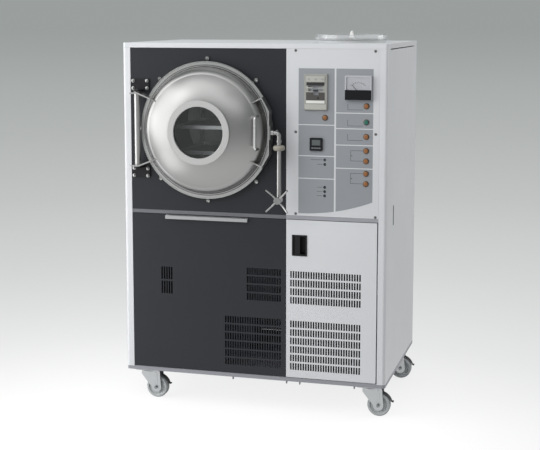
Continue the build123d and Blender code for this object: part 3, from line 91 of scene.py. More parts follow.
# ----------------------------------------------------------------- node tools
class Finish:
    """A material and short ways to add and join its nodes."""

    def __init__(self, name):
        self.material = bpy.data.materials.new(name)
        self.material.use_nodes = True
        self.tree = self.material.node_tree
        self.tree.nodes.clear()
        self.out = self.add("ShaderNodeOutputMaterial")
        self.shader = self.add("ShaderNodeBsdfPrincipled")
        self.join(self.shader, "BSDF", self.out, "Surface")

    def add(self, kind, **values):
        """New node, with values for its own properties."""
        node = self.tree.nodes.new(kind)
        for key, value in values.items():
            setattr(node, key, value)
        return node

    def join(self, source, output, target, socket):
        """Link from a node's output to another node's socket."""
        self.tree.links.new(source.outputs[output], target.inputs[socket])

    def set(self, **sockets):
        """Constants on the shader's own sockets, with _ for each space."""
        for name, value in sockets.items():
            self.shader.inputs[name.replace("_", " ")].default_value = value
        return self

    def place(self, scale=(1, 1, 1), centre=(0, 0, 0)):
        """Object coordinates about a centre, stretched per axis."""
        coords = self.add("ShaderNodeTexCoord")
        mapping = self.add("ShaderNodeMapping", vector_type="POINT")
        mapping.inputs["Location"].default_value = [-c * s for c, s in zip(centre, scale)]
        mapping.inputs["Scale"].default_value = scale
        self.join(coords, "Object", mapping, "Vector")
        return mapping, "Vector"

    def noise(self, source, scale, detail=3.0, rough=0.5, dimensions="3D"):
        """Noise from 0 to 1 over a vector, or over one value with dimensions 1D."""
        node = self.add("ShaderNodeTexNoise", noise_dimensions=dimensions)
        node.inputs["Scale"].default_value = scale
        node.inputs["Detail"].default_value = detail
        node.inputs["Roughness"].default_value = rough
        self.join(*source, node, "W" if dimensions == "1D" else "Vector")
        return node, "Fac"

    def ramp(self, source, stops):
        """Colour ramp through stops of (place, colour)."""
        node = self.add("ShaderNodeValToRGB")
        elements = node.color_ramp.elements
        while len(elements) < len(stops):
            elements.new(0.5)
        for element, (place, colour) in zip(elements, stops):
            element.position = place
            element.color = (*colour, 1)
        self.join(*source, node, "Fac")
        return node, "Color"

    def span(self, source, low, high, bottom=0.0, top=1.0):
        """Value that runs from low to high while the source runs from bottom to top."""
        node = self.add("ShaderNodeMapRange")
        ends = (("From Min", bottom), ("From Max", top), ("To Min", low), ("To Max", high))
        for name, value in ends:
            node.inputs[name].default_value = value
        self.join(*source, node, "Value")
        return node, "Result"

    def maths(self, operation, source, value=0.0, second=None):
        """Sum, product and so on of a source and a number or a second source."""
        node = self.add("ShaderNodeMath", operation=operation)
        self.join(*source, node, 0)
        if second is None:
            node.inputs[1].default_value = value
        else:
            self.join(*second, node, 1)
        return node, "Value"

    def bump(self, source, strength, distance):
        """Relief from a source, on top of any relief there already."""
        node = self.add("ShaderNodeBump")
        node.inputs["Strength"].default_value = strength
        node.inputs["Distance"].default_value = distance
        self.join(*source, node, "Height")
        last = self.shader.inputs["Normal"]
        if last.is_linked:
            self.tree.links.new(last.links[0].from_socket, node.inputs["Normal"])
        self.join(node, "Normal", self.shader, "Normal")

    def colour(self, source):
        """Colour of the surface from a source."""
        self.join(*source, self.shader, "Base Color")

    def dull(self, source):
        """Roughness of the surface from a source."""
        self.join(*source, self.shader, "Roughness")


def shade(colour, factor):
    """Colour made darker or lighter."""
    return tuple(min(1.0, c * factor) for c in colour)


def painted(name, colour, rough=0.42, peel=0.00006, gloss=0.5):
    """Sprayed sheet metal: faint mottling, orange peel and rubbed patches."""
    f = Finish(name)
    place = f.place()
    mottle = f.noise(place, 3.0, 4)
    f.colour(f.ramp(mottle, ((0.3, shade(colour, 0.965)), (0.7, shade(colour, 1.02)))))
    f.dull(f.span(f.noise(place, 14.0, 5), rough - 0.05, rough + 0.07))
    f.bump(f.noise(place, 900.0, 2), 0.25, peel)
    return f.set(Metallic=0.0, Specular_IOR_Level=gloss).material


def drawn_steel(name, colour, rough, stretch):
    """Brushed stainless with straight grain, fine along the axes that are stretched."""
    f = Finish(name)
    grain = f.noise(f.place(stretch), 1.0, 4, 0.65)
    f.colour(f.ramp(grain, ((0.25, shade(colour, 0.86)), (0.75, shade(colour, 1.1)))))
    f.dull(f.span(grain, rough - 0.07, rough + 0.1))
    f.bump(grain, 0.3, 0.00004)
    return f.set(Metallic=1.0).material


def spun_steel(name, colour, centre, rough, edge=1.0, painted_rim_reflection=1.0):
    """Stainless polished on a lathe: fine rings round a centre, with soft blotches.

    Beyond the radius called edge the colour is multiplied by painted_rim_reflection, a painted
    reflection that lightens the flat rim.
    """
    f = Finish(name)
    placed = f.place(centre=centre)
    flat = f.add("ShaderNodeVectorMath", operation="MULTIPLY")
    flat.inputs[1].default_value = (1, 0, 1)
    f.join(*placed, flat, 0)
    length = f.add("ShaderNodeVectorMath", operation="LENGTH")
    f.join(flat, "Vector", length, 0)
    radius = (length, "Value")
    rings = f.noise(radius, 1400.0, 3, 0.6, "1D")
    blotch = f.noise(placed, 5.0, 3)
    ringed = f.ramp(rings, ((0.2, shade(colour, 0.93)), (0.8, shade(colour, 1.05))))
    # lighter colour beyond the edge: painted reflection on the flat rim
    rim_reflected = f.add("ShaderNodeVectorMath", operation="SCALE")
    f.join(*ringed, rim_reflected, 0)
    f.join(*f.span(radius, 1.0, painted_rim_reflection, edge - 0.001, edge + 0.001), rim_reflected, "Scale")
    f.colour((rim_reflected, "Vector"))
    patches = f.span(blotch, rough - 0.03, rough + 0.05)
    f.dull(f.maths("ADD", f.span(rings, -0.03, 0.05), second=patches))
    f.bump(rings, 0.22, 0.00005)
    return f.set(Metallic=1.0).material


def polished(name, colour, rough=0.12):
    """Bright plated or polished metal with faint handling marks."""
    f = Finish(name)
    marks = f.noise(f.place(), 60.0, 6, 0.6)
    f.colour(f.ramp(marks, ((0.3, shade(colour, 0.95)), (0.7, colour))))
    f.dull(f.span(marks, rough - 0.03, rough + 0.08))
    f.bump(f.noise(f.place(), 350.0, 2), 0.12, 0.00003)
    return f.set(Metallic=1.0).material


def plastic(name, colour, rough, grain=500.0, depth=0.00004, **more):
    """Moulded plastic with a fine spark-eroded texture."""
    f = Finish(name)
    place = f.place()
    cloud = f.noise(place, 9.0, 3)
    f.colour(f.ramp(cloud, ((0.3, shade(colour, 0.94)), (0.7, shade(colour, 1.04)))))
    f.dull(f.span(f.noise(place, 40.0, 4), rough - 0.04, rough + 0.06))
    f.bump(f.noise(place, grain, 2), 0.3, depth)
    return f.set(Metallic=0.0, **more).material


def rubber(name, colour, rough=0.7):
    """Moulded rubber with scuffs."""
    f = Finish(name)
    scuffs = f.noise(f.place(), 55.0, 6, 0.65)
    f.colour(f.ramp(scuffs, ((0.3, shade(colour, 0.85)), (0.72, shade(colour, 1.08)))))
    f.dull(f.span(scuffs, rough - 0.1, rough + 0.1))
    f.bump(scuffs, 0.25, 0.0003)
    return f.set(Metallic=0.0).material


def clear(name, colour, rough, ior, share=1.0):
    """Clear or tinted glass or acrylic, with a trace of dust."""
    f = Finish(name)
    dust = f.noise(f.place(), 80.0, 5, 0.6)
    f.dull(f.span(dust, rough, rough + 0.05, 0.4, 0.8))
    f.colour(f.ramp(dust, ((0.3, colour), (0.8, shade(colour, 0.97)))))
    return f.set(Metallic=0.0, Transmission_Weight=share, IOR=ior).material


# ----------------------------------------------------------------- mesh tools
def piece(name, body, finish, build, smooth=True, bevel=0.0):
    """Object from a function that fills a bmesh, given a finish and a body."""
    mesh = bpy.data.meshes.new(name)
    form = bmesh.new()
    build(form)
    bmesh.ops.remove_doubles(form, verts=form.verts, dist=1e-6)
    bmesh.ops.recalc_face_normals(form, faces=form.faces)
    form.to_mesh(mesh)
    form.free()
    obj = bpy.data.objects.new(name, mesh)
    bpy.context.scene.collection.objects.link(obj)
    obj.data.materials.append(finish)
    if bevel:
        cut = obj.modifiers.new("Edges", "BEVEL")
        cut.width = bevel
        cut.segments = 2
        cut.limit_method = "ANGLE"
        cut.angle_limit = math.radians(40)
    if smooth:
        mesh.shade_smooth()
        mesh.set_sharp_from_angle(angle=math.radians(38))
    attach(obj, body)


def solid(form, outline, y_front, y_back):
    """Prism whose outline is drawn in x and z, between two depths, in millimetres."""
    front = [form.verts.new(at(x, y_front, z)) for x, z in outline]
    back = [form.verts.new(at(x, y_back, z)) for x, z in outline]
    form.faces.new(front)
    form.faces.new(list(reversed(back)))
    count = len(outline)
    for i in range(count):
        j = (i + 1) % count
        form.faces.new((front[j], front[i], back[i], back[j]))


def circle(radius, steps):
    """Points of a circle round zero."""
    angles = (2 * math.pi * i / steps for i in range(steps))
    return [(radius * math.cos(a), radius * math.sin(a)) for a in angles]


def cuboid(form, x, y, z):
    """Block between two ends along each axis."""
    solid(form, ((x[0], z[0]), (x[1], z[0]), (x[1], z[1]), (x[0], z[1])), y[0], y[1])


def turned(form, profile, x, z, steps=40):
    """Lathe a profile of (radius, y) round an axis along y through x and z."""
    rings = []
    for radius, y in profile:
        if radius <= 0:
            rings.append([form.verts.new(at(x, y, z))])
            continue
        rings.append([form.verts.new(at(x + dx, y, z + dz)) for dx, dz in circle(radius, steps)])
    for near, far in zip(rings, rings[1:]):
        for i in range(steps):
            j = (i + 1) % steps
            loop = (near[i % len(near)], near[j % len(near)], far[j % len(far)], far[i % len(far)])
            unique = tuple(dict.fromkeys(loop))
            if len(unique) > 2:
                form.faces.new(unique)


def middle(node):
    """Middle of a CAD node in x and z."""
    across, _, up = extent(node)
    return sum(across) / 2, sum(up) / 2


def dress(names, finish):
    """Give CAD nodes a finish."""
    for name in names:
        mesh = NODES[name].data
        mesh.materials.clear()
        mesh.materials.append(finish)


# ----------------------------------------------------------------- properties
def colour_property(name, description, default):
    """Colour that a user may change."""
    return bpy.props.FloatVectorProperty(
        name=name, description=description, default=default, subtype="COLOR", size=3,
        min=0, max=1)


class CasingSettings(bpy.types.PropertyGroup):
    """Colours of the painted sheet metal."""

    pale: colour_property("Pale sheet", "Side panels, cover and slotted door", (0.735, 0.75, 0.775))
    dark: colour_property("Dark sheet", "Panels of the left half", (0.020, 0.022, 0.027))
    rail: colour_property("Rails", "Middle rail; the base rail is lighter", (0.16, 0.163, 0.18))
    field: colour_property(
        "Printed fields", "Grey fields of the control panel", (0.275, 0.29, 0.31))


class MetalSettings(bpy.types.PropertyGroup):
    """Finish of the chamber's metalwork."""

    steel: colour_property("Stainless steel", "Door, chamber and clamp", (0.335, 0.332, 0.329))
    roughness: bpy.props.FloatProperty(
        name="Door roughness", description="How dull the spun door is", default=0.33,
        min=0.05, max=0.8, subtype="FACTOR")


class StageSettings(bpy.types.PropertyGroup):
    """Camera, floor and lamps."""

    camera: bpy.props.FloatVectorProperty(
        name="Camera", description="Place of the camera from the cabinet's front",
        default=(1.272, -4.385, 1.379), subtype="TRANSLATION", unit="LENGTH", size=3)
    yaw: bpy.props.FloatProperty(
        name="Yaw", description="Turn of the camera to the left", default=math.radians(15.32),
        subtype="ANGLE", unit="ROTATION")
    pitch: bpy.props.FloatProperty(
        name="Pitch", description="Dip of the camera", default=math.radians(7.18),
        subtype="ANGLE", unit="ROTATION")
    roll: bpy.props.FloatProperty(
        name="Roll", description="Roll of the camera", default=0.0,
        subtype="ANGLE", unit="ROTATION")
    lens: bpy.props.FloatProperty(
        name="Lens", description="Focal length on a 36 mm sensor", default=81.48, min=10, max=300,
        subtype="DISTANCE_CAMERA")
    shift: bpy.props.FloatProperty(
        name="Shift", description="Vertical shift of the view", default=-0.10, min=-0.2, max=0.2)
    floor: colour_property(
        "Floor", "Colour of the floor as it lights the machine", (0.32, 0.32, 0.32))
    backdrop: colour_property(
        "Backdrop", "Colour of the far floor and beyond", (0.325, 0.348, 0.342))
    lit_floor: bpy.props.FloatProperty(
        name="Light on the floor", description="How bright the lamps make a white floor",
        default=0.72, min=0.1, max=3)
    shadow: bpy.props.FloatProperty(
        name="Shadow", description="Share of the floor's tone that takes shadows", default=0.15,
        min=0, max=1, subtype="FACTOR")
    sky: bpy.props.FloatProperty(
        name="Sky", description="Strength of the even light", default=0.46, min=0, max=2)


def settings(kind):
    """Group of settings that the scene holds."""
    return getattr(bpy.context.scene, kind)


# ------------------------------------------------------------------ operators
class Piece:
    """What every operator of this file shares."""

    bl_options = {"REGISTER", "UNDO"}


class FREEZE_DRYER_OT_stage(Piece, bpy.types.Operator):
    """Make the camera, the floor, the backdrop colour and the lamps."""

    bl_idname = "freeze_dryer.stage"
    bl_label = "Stage"

    FLOOR_RADIUS = 150      # in metres
    # Tone of the floor, from 1 for white to 0 for the backdrop's colour. The places
    # are shares of the way out from the middle, on a logarithmic scale.
    FADE = (
        (0.10, 1.0), (0.13, 0.96), (0.155, 0.89), (0.18, 0.81), (0.21, 0.70), (0.25, 0.60),
        (0.30, 0.49), (0.35, 0.405), (0.40, 0.31), (0.455, 0.245), (0.517, 0.18), (0.593, 0.13),
        (0.70, 0.07), (0.785, 0.035), (0.91, 0.01), (1.0, 0.0))

    def execute(self, context):
        s = settings("dryer_stage")
        self.camera(context, s)
        self.floor(s)
        self.world(context, s)
        self.lamps()
        context.scene.view_settings.view_transform = "Standard"
        return {"FINISHED"}

    def camera(self, context, s):
        """Camera in front and to the right, looking a little down."""
        yaw, pitch = s.yaw, s.pitch
        ahead = Vector((
            -math.sin(yaw) * math.cos(pitch), math.cos(yaw) * math.cos(pitch), -math.sin(pitch)))
        right = Vector((math.cos(yaw), math.sin(yaw), 0))
        up = right.cross(ahead)
        c, r = math.cos(s.roll), math.sin(s.roll)
        right, up = right * c + up * r, up * c - right * r
        data = bpy.data.cameras.new("Camera")
        data.lens = s.lens
        data.sensor_width = 36
        data.shift_y = s.shift
        data.clip_end = 400
        camera = bpy.data.objects.new("Camera", data)
        turn = Matrix((right, up, -ahead)).transposed().to_4x4()
        camera.matrix_world = Matrix.Translation(at(*(1000 * v for v in s.camera))) @ turn
        context.scene.collection.objects.link(camera)
        context.scene.camera = camera

    def floor(self, s):
        """Pale floor that fades to the backdrop; it glows only where it is looked at."""
        f = Finish("pale floor")
        brightest = at(0, -700, 0)
        placed = f.place(centre=(brightest.x, brightest.y, 0))
        length = f.add("ShaderNodeVectorMath", operation="LENGTH")
        f.join(*placed, length, 0)
        far = f.maths("LOGARITHM", f.maths("ADD", (length, "Value"), 1.0), math.e)
        share = f.span(far, 0.0, 1.0, 0.0, math.log(self.FLOOR_RADIUS + 1))
        near, away = Vector((1, 1, 1)), Vector(s.backdrop)
        tone = f.ramp(share, [(p, tuple(away.lerp(near, v))) for p, v in self.FADE])
        lit = f.span(share, s.shadow, 0.0, 0.12, 0.38)
        glow, matt, both = (f.add(kind) for kind in (
            "ShaderNodeEmission", "ShaderNodeBsdfDiffuse", "ShaderNodeAddShader"))
        rest = f.maths("SUBTRACT", f.maths("MULTIPLY", lit, -1.0), -1.0)
        f.join(*tone, glow, "Color")
        f.join(*rest, glow, "Strength")
        part = f.add("ShaderNodeVectorMath", operation="SCALE")
        f.join(*tone, part, 0)
        f.join(*f.maths("MULTIPLY", lit, 1 / s.lit_floor), part, "Scale")
        f.join(part, "Vector", matt, "Color")
        f.join(glow, "Emission", both, 0)
        f.join(matt, "BSDF", both, 1)
        mix = f.add("ShaderNodeMixShader")
        f.join(*self.looked_at(f.tree), mix, "Fac")
        f.set(Roughness=0.9, Metallic=0.0, Specular_IOR_Level=0.1, Base_Color=(*s.floor, 1))
        f.join(f.shader, "BSDF", mix, 1)
        f.join(both, "Shader", mix, 2)
        f.join(mix, "Shader", f.out, "Surface")
        mesh = bpy.data.meshes.new("floor")
        form = bmesh.new()
        bmesh.ops.create_circle(form, cap_ends=True, radius=self.FLOOR_RADIUS, segments=96)
        form.to_mesh(mesh)
        form.free()
        floor = bpy.data.objects.new("floor", mesh)
        floor.data.materials.append(f.material)
        bpy.context.scene.collection.objects.link(floor)

    def looked_at(self, tree):
        """1 for the rays that see a surface rather than light it."""
        paths = tree.nodes.new("ShaderNodeLightPath")
        value = paths.outputs["Is Camera Ray"]
        for kind in ("Is Glossy Ray", "Is Transmission Ray"):
            node = tree.nodes.new("ShaderNodeMath")
            node.operation = "MAXIMUM"
            tree.links.new(value, node.inputs[0])
            tree.links.new(paths.outputs[kind], node.inputs[1])
            value = node.outputs[0]
        return value.node, "Value"

    def world(self, context, s):
        """Even light from all round, and the backdrop's colour where it is looked at."""
        world = bpy.data.worlds.new("studio")
        world.use_nodes = True
        tree = world.node_tree
        tree.nodes.clear()
        out, light, seen, mix = (tree.nodes.new("ShaderNode" + kind) for kind in (
            "OutputWorld", "Background", "Background", "MixShader"))
        seen.inputs["Color"].default_value = (*s.backdrop, 1)
        light.inputs["Color"].default_value = (1, 1, 1, 1)
        light.inputs["Strength"].default_value = s.sky
        node, name = self.looked_at(tree)
        tree.links.new(node.outputs[name], mix.inputs["Fac"])
        tree.links.new(light.outputs[0], mix.inputs[1])
        tree.links.new(seen.outputs[0], mix.inputs[2])
        tree.links.new(mix.outputs[0], out.inputs["Surface"])
        context.scene.world = world

    def lamps(self):
        """Soft lamps round the machine, brightest on its left."""
        door = (CHAMBER_X, -90, CHAMBER_Z)
        for name, energy, size, place, target in (
                ("left wall", 93, (3.2, 3.8), (-3050, -1750, 1500), (0, -300, 900)),
                ("left strip", 9, (1.4, 1.1), (-3450, -50, 1150), (0, -100, 900)),
                ("upper softbox", 40, (4.0, 2.2), (-1300, -2850, 3550), (-100, 0, 800)),
                ("high softbox", 7, (3.6, 1.0), (0, -1300, 3100), (0, 200, 900)),
                ("front softbox", 11, (2.0, 1.2), (1200, -3200, 2700), (200, 0, 1100)),
                ("overhead softbox", 11, (3.0, 2.0), (300, 1300, 3600), (200, 500, 1200)),
                ("right softbox", 35, (1.8, 2.0), (3600, 1800, 1900), (500, 300, 1100)),
                ("low reflector", 3.2, (0.9, 0.7), (-1376, -711, 104), door)):
            self.softbox(name, energy, size, at(*place), at(*target))

    def softbox(self, name, energy, size, place, target):
        """Rectangular lamp at a place, turned to a target."""
        data = bpy.data.lights.new(name, "AREA")
        data.shape = "RECTANGLE"
        data.size, data.size_y = size
        data.energy = energy
        lamp = bpy.data.objects.new(name, data)
        lamp.rotation_euler = (target - place).to_track_quat("-Z", "Y").to_euler()
        lamp.location = place
        bpy.context.scene.collection.objects.link(lamp)


class FREEZE_DRYER_OT_casing(Piece, bpy.types.Operator):
    """Paint the casing's sheet metal and rails, finish its pulls and latch; paint the side pull's
    shade.
    """

    bl_idname = "freeze_dryer.casing"
    bl_label = "Casing"

    def execute(self, context):
        s = settings("dryer_casing")
        dress(("left_side_panel", "right_side_panel", "top_cover", "rear_panel", "condenser_door"),
              painted("pale enamel", s.pale))
        dress(("control_panel",), painted("control panel enamel", shade(s.pale, 0.96)))
        dress(("chamber_panel", "service_panel"),
              painted("charcoal enamel", s.dark, 0.42, gloss=0.32))
        dress(("inner_frame",), painted("grey enamel", s.rail))
        dress(("base_frame",), painted("pale grey enamel", shade(s.rail, 2.0)))
        dress(("panel_pull",), polished("satin aluminium", (0.46, 0.465, 0.475), 0.38))
        dress(("latch_cup", "latch_paddle"),
              plastic("black latch plastic", (0.005, 0.005, 0.006), 0.5, Specular_IOR_Level=0.3))
        self.rail(painted("pale rail film", shade(s.rail, 2.3)))
        self.pull(plastic("painted pull shade", (0.05, 0.05, 0.055), 0.6))
        return {"FINISHED"}

    def rail(self, film):
        """Pale film on the stretch of the middle rail under the control panel."""
        x, _, (panel_foot, _) = extent("control_panel")
        door_top = extent("condenser_door")[2][1]
        piece("rail_film", "cabinet", film,
              lambda form: cuboid(form, x, (PANEL_FACE - 0.25, PANEL_FACE + FILM_SINK),
                                  (door_top + 2.6, panel_foot - 0.8)))

    def pull(self, recess_shade):
        """Dark block in the recess of the pull in the right side: painted shade."""
        side = extent("right_side_panel")[0][1]
        # the dark block is painted shade inside the pull's mouth
        piece("side_pull_painted_shade", "cabinet", recess_shade,
              lambda form: cuboid(form, (side - 4.0, side - 0.2), SIDE_PULL_Y, SIDE_PULL_Z))


class FREEZE_DRYER_OT_chamber(Piece, bpy.types.Operator):
    """Finish the drying chamber, its door, hinge and clamp."""

    bl_idname = "freeze_dryer.chamber"
    bl_label = "Drying chamber"

    def execute(self, context):
        s = settings("dryer_metal")
        steel = tuple(s.steel)
        centre = tuple(at(CHAMBER_X, 0, CHAMBER_Z))
        along, upright = (14, 500, 14), (300, 300, 20)
        # the rim beyond the knuckle's foot gets its colour lifted 1.45 times: painted reflection on
        # its flat face
        dress(("door_dome",), spun_steel("spun stainless", steel, centre, s.roughness,
                                         (self.door_radius() - RIM_W) / 1000, 1.45))
        dress(("window_ring",), spun_steel("turned window ring", shade(steel, 1.55), centre, 0.5))
        dress(("chamber_vessel",), drawn_steel("rolled stainless", shade(steel, 1.1), 0.34, along))
        dress(("shelf_rack",), drawn_steel("rack stainless", (0.86, 0.86, 0.86), 0.42, along))
        dress(("clamp_bracket", "clamp_arm"),
              drawn_steel("ground stainless", shade(steel, 1.2), 0.3, upright))
        dress(("door_handle", "cap_nuts"), polished("polished steel", (0.58, 0.58, 0.575)))
        dress(("star_handle",), polished("dull plated steel", (0.38, 0.38, 0.378), 0.26))
        dress(("hinge_brackets",), painted("hinge enamel", (0.012, 0.012, 0.014), 0.34, gloss=0.3))
        dress(("clamp_nut",), plastic("phenolic nut", (0.36, 0.34, 0.29), 0.42, 300, 0.0001))
        dress(("door_seal",), rubber("black seal rubber", BLACK, 0.6))
        dress(("window_glass",), clear("window glass", (0.87, 0.88, 0.89), 0.02, 1.5))
        self.bolts(polished("bright bolts", (0.42, 0.42, 0.42), 0.26))
        self.rim(polished("bright rim edge", (0.62, 0.62, 0.615), 0.2),
                 plastic("painted rim crease shade", BLACK, 0.6))
        return {"FINISHED"}

    def door_radius(self):
        """Radius of the door with its rim."""
        low, high = extent("door_dome")[2]
        return (high - low) / 2

    def rim(self, bright, dark):
        """Beads on the door's rim, and fine black lines beside them and at the knuckle's foot,
        which paint the shade of the creases there.
        """
        edge = self.door_radius()
        face = extent("door_dome")[1][1] - RIM_T
        for name, finish, inner, outer, proud in (
                ("rim_bead", bright, 4.2, 0.4, 1.3),
                ("rim_inner_bead", bright, 17.6, 15.0, 0.9),
                # black lines: painted shade in the rim's creases
                ("rim_crease_shade", dark, 15.0, 12.4, 0.15),
                ("knuckle_crease_shade", dark, 21.6, 18.6, 0.15)):
            near, far = edge - inner, edge - outer
            profile = ((near, face + 0.1), (near + 0.5, face - proud),
                       (far - 0.5, face - proud), (far, face + 0.1))
            piece(name, "chamber_door", finish,
                  lambda form: turned(form, profile, CHAMBER_X, CHAMBER_Z, 120))

    def bolts(self, steel):
        """Domed heads of the four bolts in each hinge bracket."""
        x, z = middle("hinge_brackets")
        low, high = extent("hinge_brackets")[2]
        reach = (high - low) / 2
        head = ((0, -12.4), (2.6, -12.0), (4.6, -10.4), (5.4, -8.4), (5.6, -7.0),
                (6.8, -6.6), (6.8, -4.5))

        def build(form):
            for side in (-1, 1):
                for inward in (7.0, 35.0):
                    for across in (-28.0, 28.0):
                        turned(form, head, x + across, z + side * (reach - inward), 24)

        piece("hinge_bolts", "cabinet", steel, build)


class FREEZE_DRYER_OT_trap(Piece, bpy.types.Operator):
    """Finish the cold trap's pot, lid and knob."""

    bl_idname = "freeze_dryer.trap"
    bl_label = "Cold trap"

    def execute(self, context):
        dress(("trap_vessel",), painted("satin trap steel", (0.66, 0.67, 0.68), 0.36))
        dress(("trap_lid",), clear("clear acrylic", (0.95, 0.96, 0.97), 0.08, 1.49, 0.75))
        dress(("lid_knob",), plastic("white knob plastic", (0.86, 0.86, 0.85), 0.3))
        return {"FINISHED"}


class FREEZE_DRYER_OT_controls(Piece, bpy.types.Operator):
    """Print the control panel's fields and finish its instruments."""

    bl_idname = "freeze_dryer.controls"
    bl_label = "Controls"

    PRINT = 0.25            # how far the printed film stands proud of the panel
    FIELD_TOP = 1192.0
    LEFT = (180.5, 316.0)   # ends of the fields in x
    RIGHT = (322.6, 460.5)
    LEFT_LINES = (983.8, 868.0, 783.6)      # heights of the bare lines between them
    RIGHT_LINES = (1029.8, 972.3, 911.6, 825.6)
    LINE_W = 3.6
    BRACKETS_Z = ((854.0, 892.0), (770.0, 808.0))

    def execute(self, context):
        s = settings("dryer_casing")
        dress(AMBER_BUTTONS, plastic("amber caps", AMBER, 0.28, 300, 0.00002))
        dress((GREEN_BUTTON,), plastic("green cap", (0.035, 0.16, 0.12), 0.22, 300, 0.00002))
        dress(("indicator_lamps",),
              plastic("lamp lenses", (0.008, 0.008, 0.012), 0.5, Specular_IOR_Level=0.2))
        dress(("breaker_case",), plastic("beige breaker plastic", (0.36, 0.365, 0.34), 0.45))
        dress(("breaker_toggle",), plastic("black toggle plastic", (0.03, 0.03, 0.035), 0.35))
        dress(("meter_case",), plastic("pale meter frame", (0.60, 0.60, 0.65), 0.35))
        dress(("meter_needle",), plastic("needle enamel", BLACK, 0.5))
        dress(("temperature_controller",),
              plastic("dark controller plastic", (0.008, 0.009, 0.011), 0.45,
                      Specular_IOR_Level=0.25))
        self.fields(painted("printed grey film", shade(s.field, 1.13), 0.5, 0.00002))
        self.diagram(plastic("dark print", (0.07, 0.075, 0.08), 0.6))
        self.lamp_rings()
        self.bezels(polished("bezel chrome", (0.16, 0.13, 0.10), 0.3))
        self.screws()
        self.meter()
        self.breaker()
        self.controller()
        return {"FINISHED"}

    def lower_edge(self, x):
        """Height of the fields' curved lower edge."""
        share = (x - self.LEFT[0]) / (self.RIGHT[1] - self.LEFT[0])
        return 651.0 + 51.0 * share ** 2.15

    def fields(self, film):
        """Grey fields, in a left and a right column, with bare lines between them."""
        y = (PANEL_FACE - self.PRINT, PANEL_FACE + FILM_SINK)
        for side, span, lines in (("left", self.LEFT, self.LEFT_LINES),
                                  ("right", self.RIGHT, self.RIGHT_LINES)):
            edges = [self.FIELD_TOP]
            for line in lines:
                edges += [line + self.LINE_W / 2, line - self.LINE_W / 2]

            def build(form):
                for high, low in zip(edges[0:-1:2], edges[1::2]):
                    cuboid(form, span, y, (low, high))
                steps = 16
                curve = [span[1] - (span[1] - span[0]) * i / steps for i in range(steps + 1)]
                outline = [(span[0], edges[-1]), (span[1], edges[-1])]
                solid(form, outline + [(x, self.lower_edge(x)) for x in curve], *y)

            piece(f"fields_{side}", "cabinet", film, build, smooth=False)

    def diagram(self, ink):
        """Plain connecting lines beside the round caps and the small lamps."""
        y = (PANEL_FACE - self.PRINT - 0.1, PANEL_FACE - self.PRINT + FILM_SINK)
        half = 0.7

        def across(form, x0, x1, z):
            cuboid(form, (x0, x1), y, (z - half, z + half))

        def build(form):
            left, right = 378.0, 424.0
            for low, high in self.BRACKETS_Z:
                across(form, left, right, low)
                across(form, left, right, high)
                cuboid(form, (left - half, left + half), y, (low, high))
                centre = (low + high) / 2
                solid(form, ((left + 2, centre + 2.2), (left + 2, centre - 2.2),
                             (left + 8, centre)), *y)
            for name in ("button_pump", "button_start", "button_freeze"):
                x, z = middle(name)
                x, z = x - 70, z - 14
                across(form, x, x + 58, z)
                cuboid(form, (x, x + 2 * half), y, (z, z + 22))
            for z in SMALL_LAMPS_Z:
                across(form, 228.0 if z == SMALL_LAMPS_Z[0] else 252.0, 272.0, z)

        piece("diagram_lines", "cabinet", ink, build, smooth=False)

    def lamp_rings(self):
        """Black ring round each of the five small lamps."""
        x, _ = middle("indicator_lamps")
        face = PANEL_FACE - self.PRINT
        profile = ((2.7, face + FILM_SINK), (2.7, face - 0.6), (5.0, face - 0.5),
                   (5.2, face + FILM_SINK))

        def build(form):
            for z in SMALL_LAMPS_Z:
                turned(form, profile, x, z, 24)

        black = plastic("black lamp rings", (0.006, 0.006, 0.01), 0.6, Specular_IOR_Level=0.2)
        piece("lamp_rings", "cabinet", black, build)

    def bezels(self, chrome):
        """Ring round each round cap, and the cap of the lamp below the breaker."""
        spots = {"supply_lamp": SUPPLY_LAMP}
        for name in AMBER_BUTTONS + (GREEN_BUTTON,):
            spots[name] = middle(name)
        inside = (8.9, PANEL_FACE - 0.2)
        profile = (inside, (8.9, PANEL_FACE - 2.6), (9.5, PANEL_FACE - 3.2),
                   (10.6, PANEL_FACE - 2.4), (11.2, PANEL_FACE - 0.2), inside)
        for name, spot in spots.items():
            piece(f"{name}_bezel", "cabinet", chrome,
                  lambda form: turned(form, profile, *spot))
        cap = plastic("supply lamp lens", AMBER, 0.28, 300, 0.00002)
        front = PANEL_FACE - 6.3
        dome = ((0, front), (5.0, front + 0.3), (7.7, front + 1.2), (8.7, front + 2.6),
                (8.7, front + 6))
        piece("supply_lamp_cap", "cabinet", cap,
              lambda form: turned(form, dome, *SUPPLY_LAMP))

    def screws(self):
        """Cross-recessed screws along the edges of the control panel."""
        steel = polished("panel screw steel", (0.17, 0.17, 0.175), 0.34)
        spots = ((169, 1257), (467, 1256), (170, 956), (470.5, 954), (170, 649), (472, 647))
        face = PANEL_FACE - 1.7
        flat, steps = 2.6, 24       # radius of the flat middle, and its sides
        head = ((5.2, PANEL_FACE), (5.2, face + 0.9), (4.4, face + 0.2), (flat, face))
        cross = []
        for quarter in range(4):
            turn = Matrix.Rotation(math.radians(90 * quarter + 12), 2)
            for corner in ((0.55, -0.55), (2.3, -0.55), (2.3, 0.55)):
                cross.append(turn @ Vector(corner))

        def build(form):
            for x, z in spots:
                turned(form, head, x, z, steps)
                rim = [(x + dx, z + dz) for dx, dz in circle(flat, steps)]
                self.recess(form, rim, [(x + v.x, z + v.y) for v in cross], face)

        piece("panel_screws", "cabinet", steel, build)

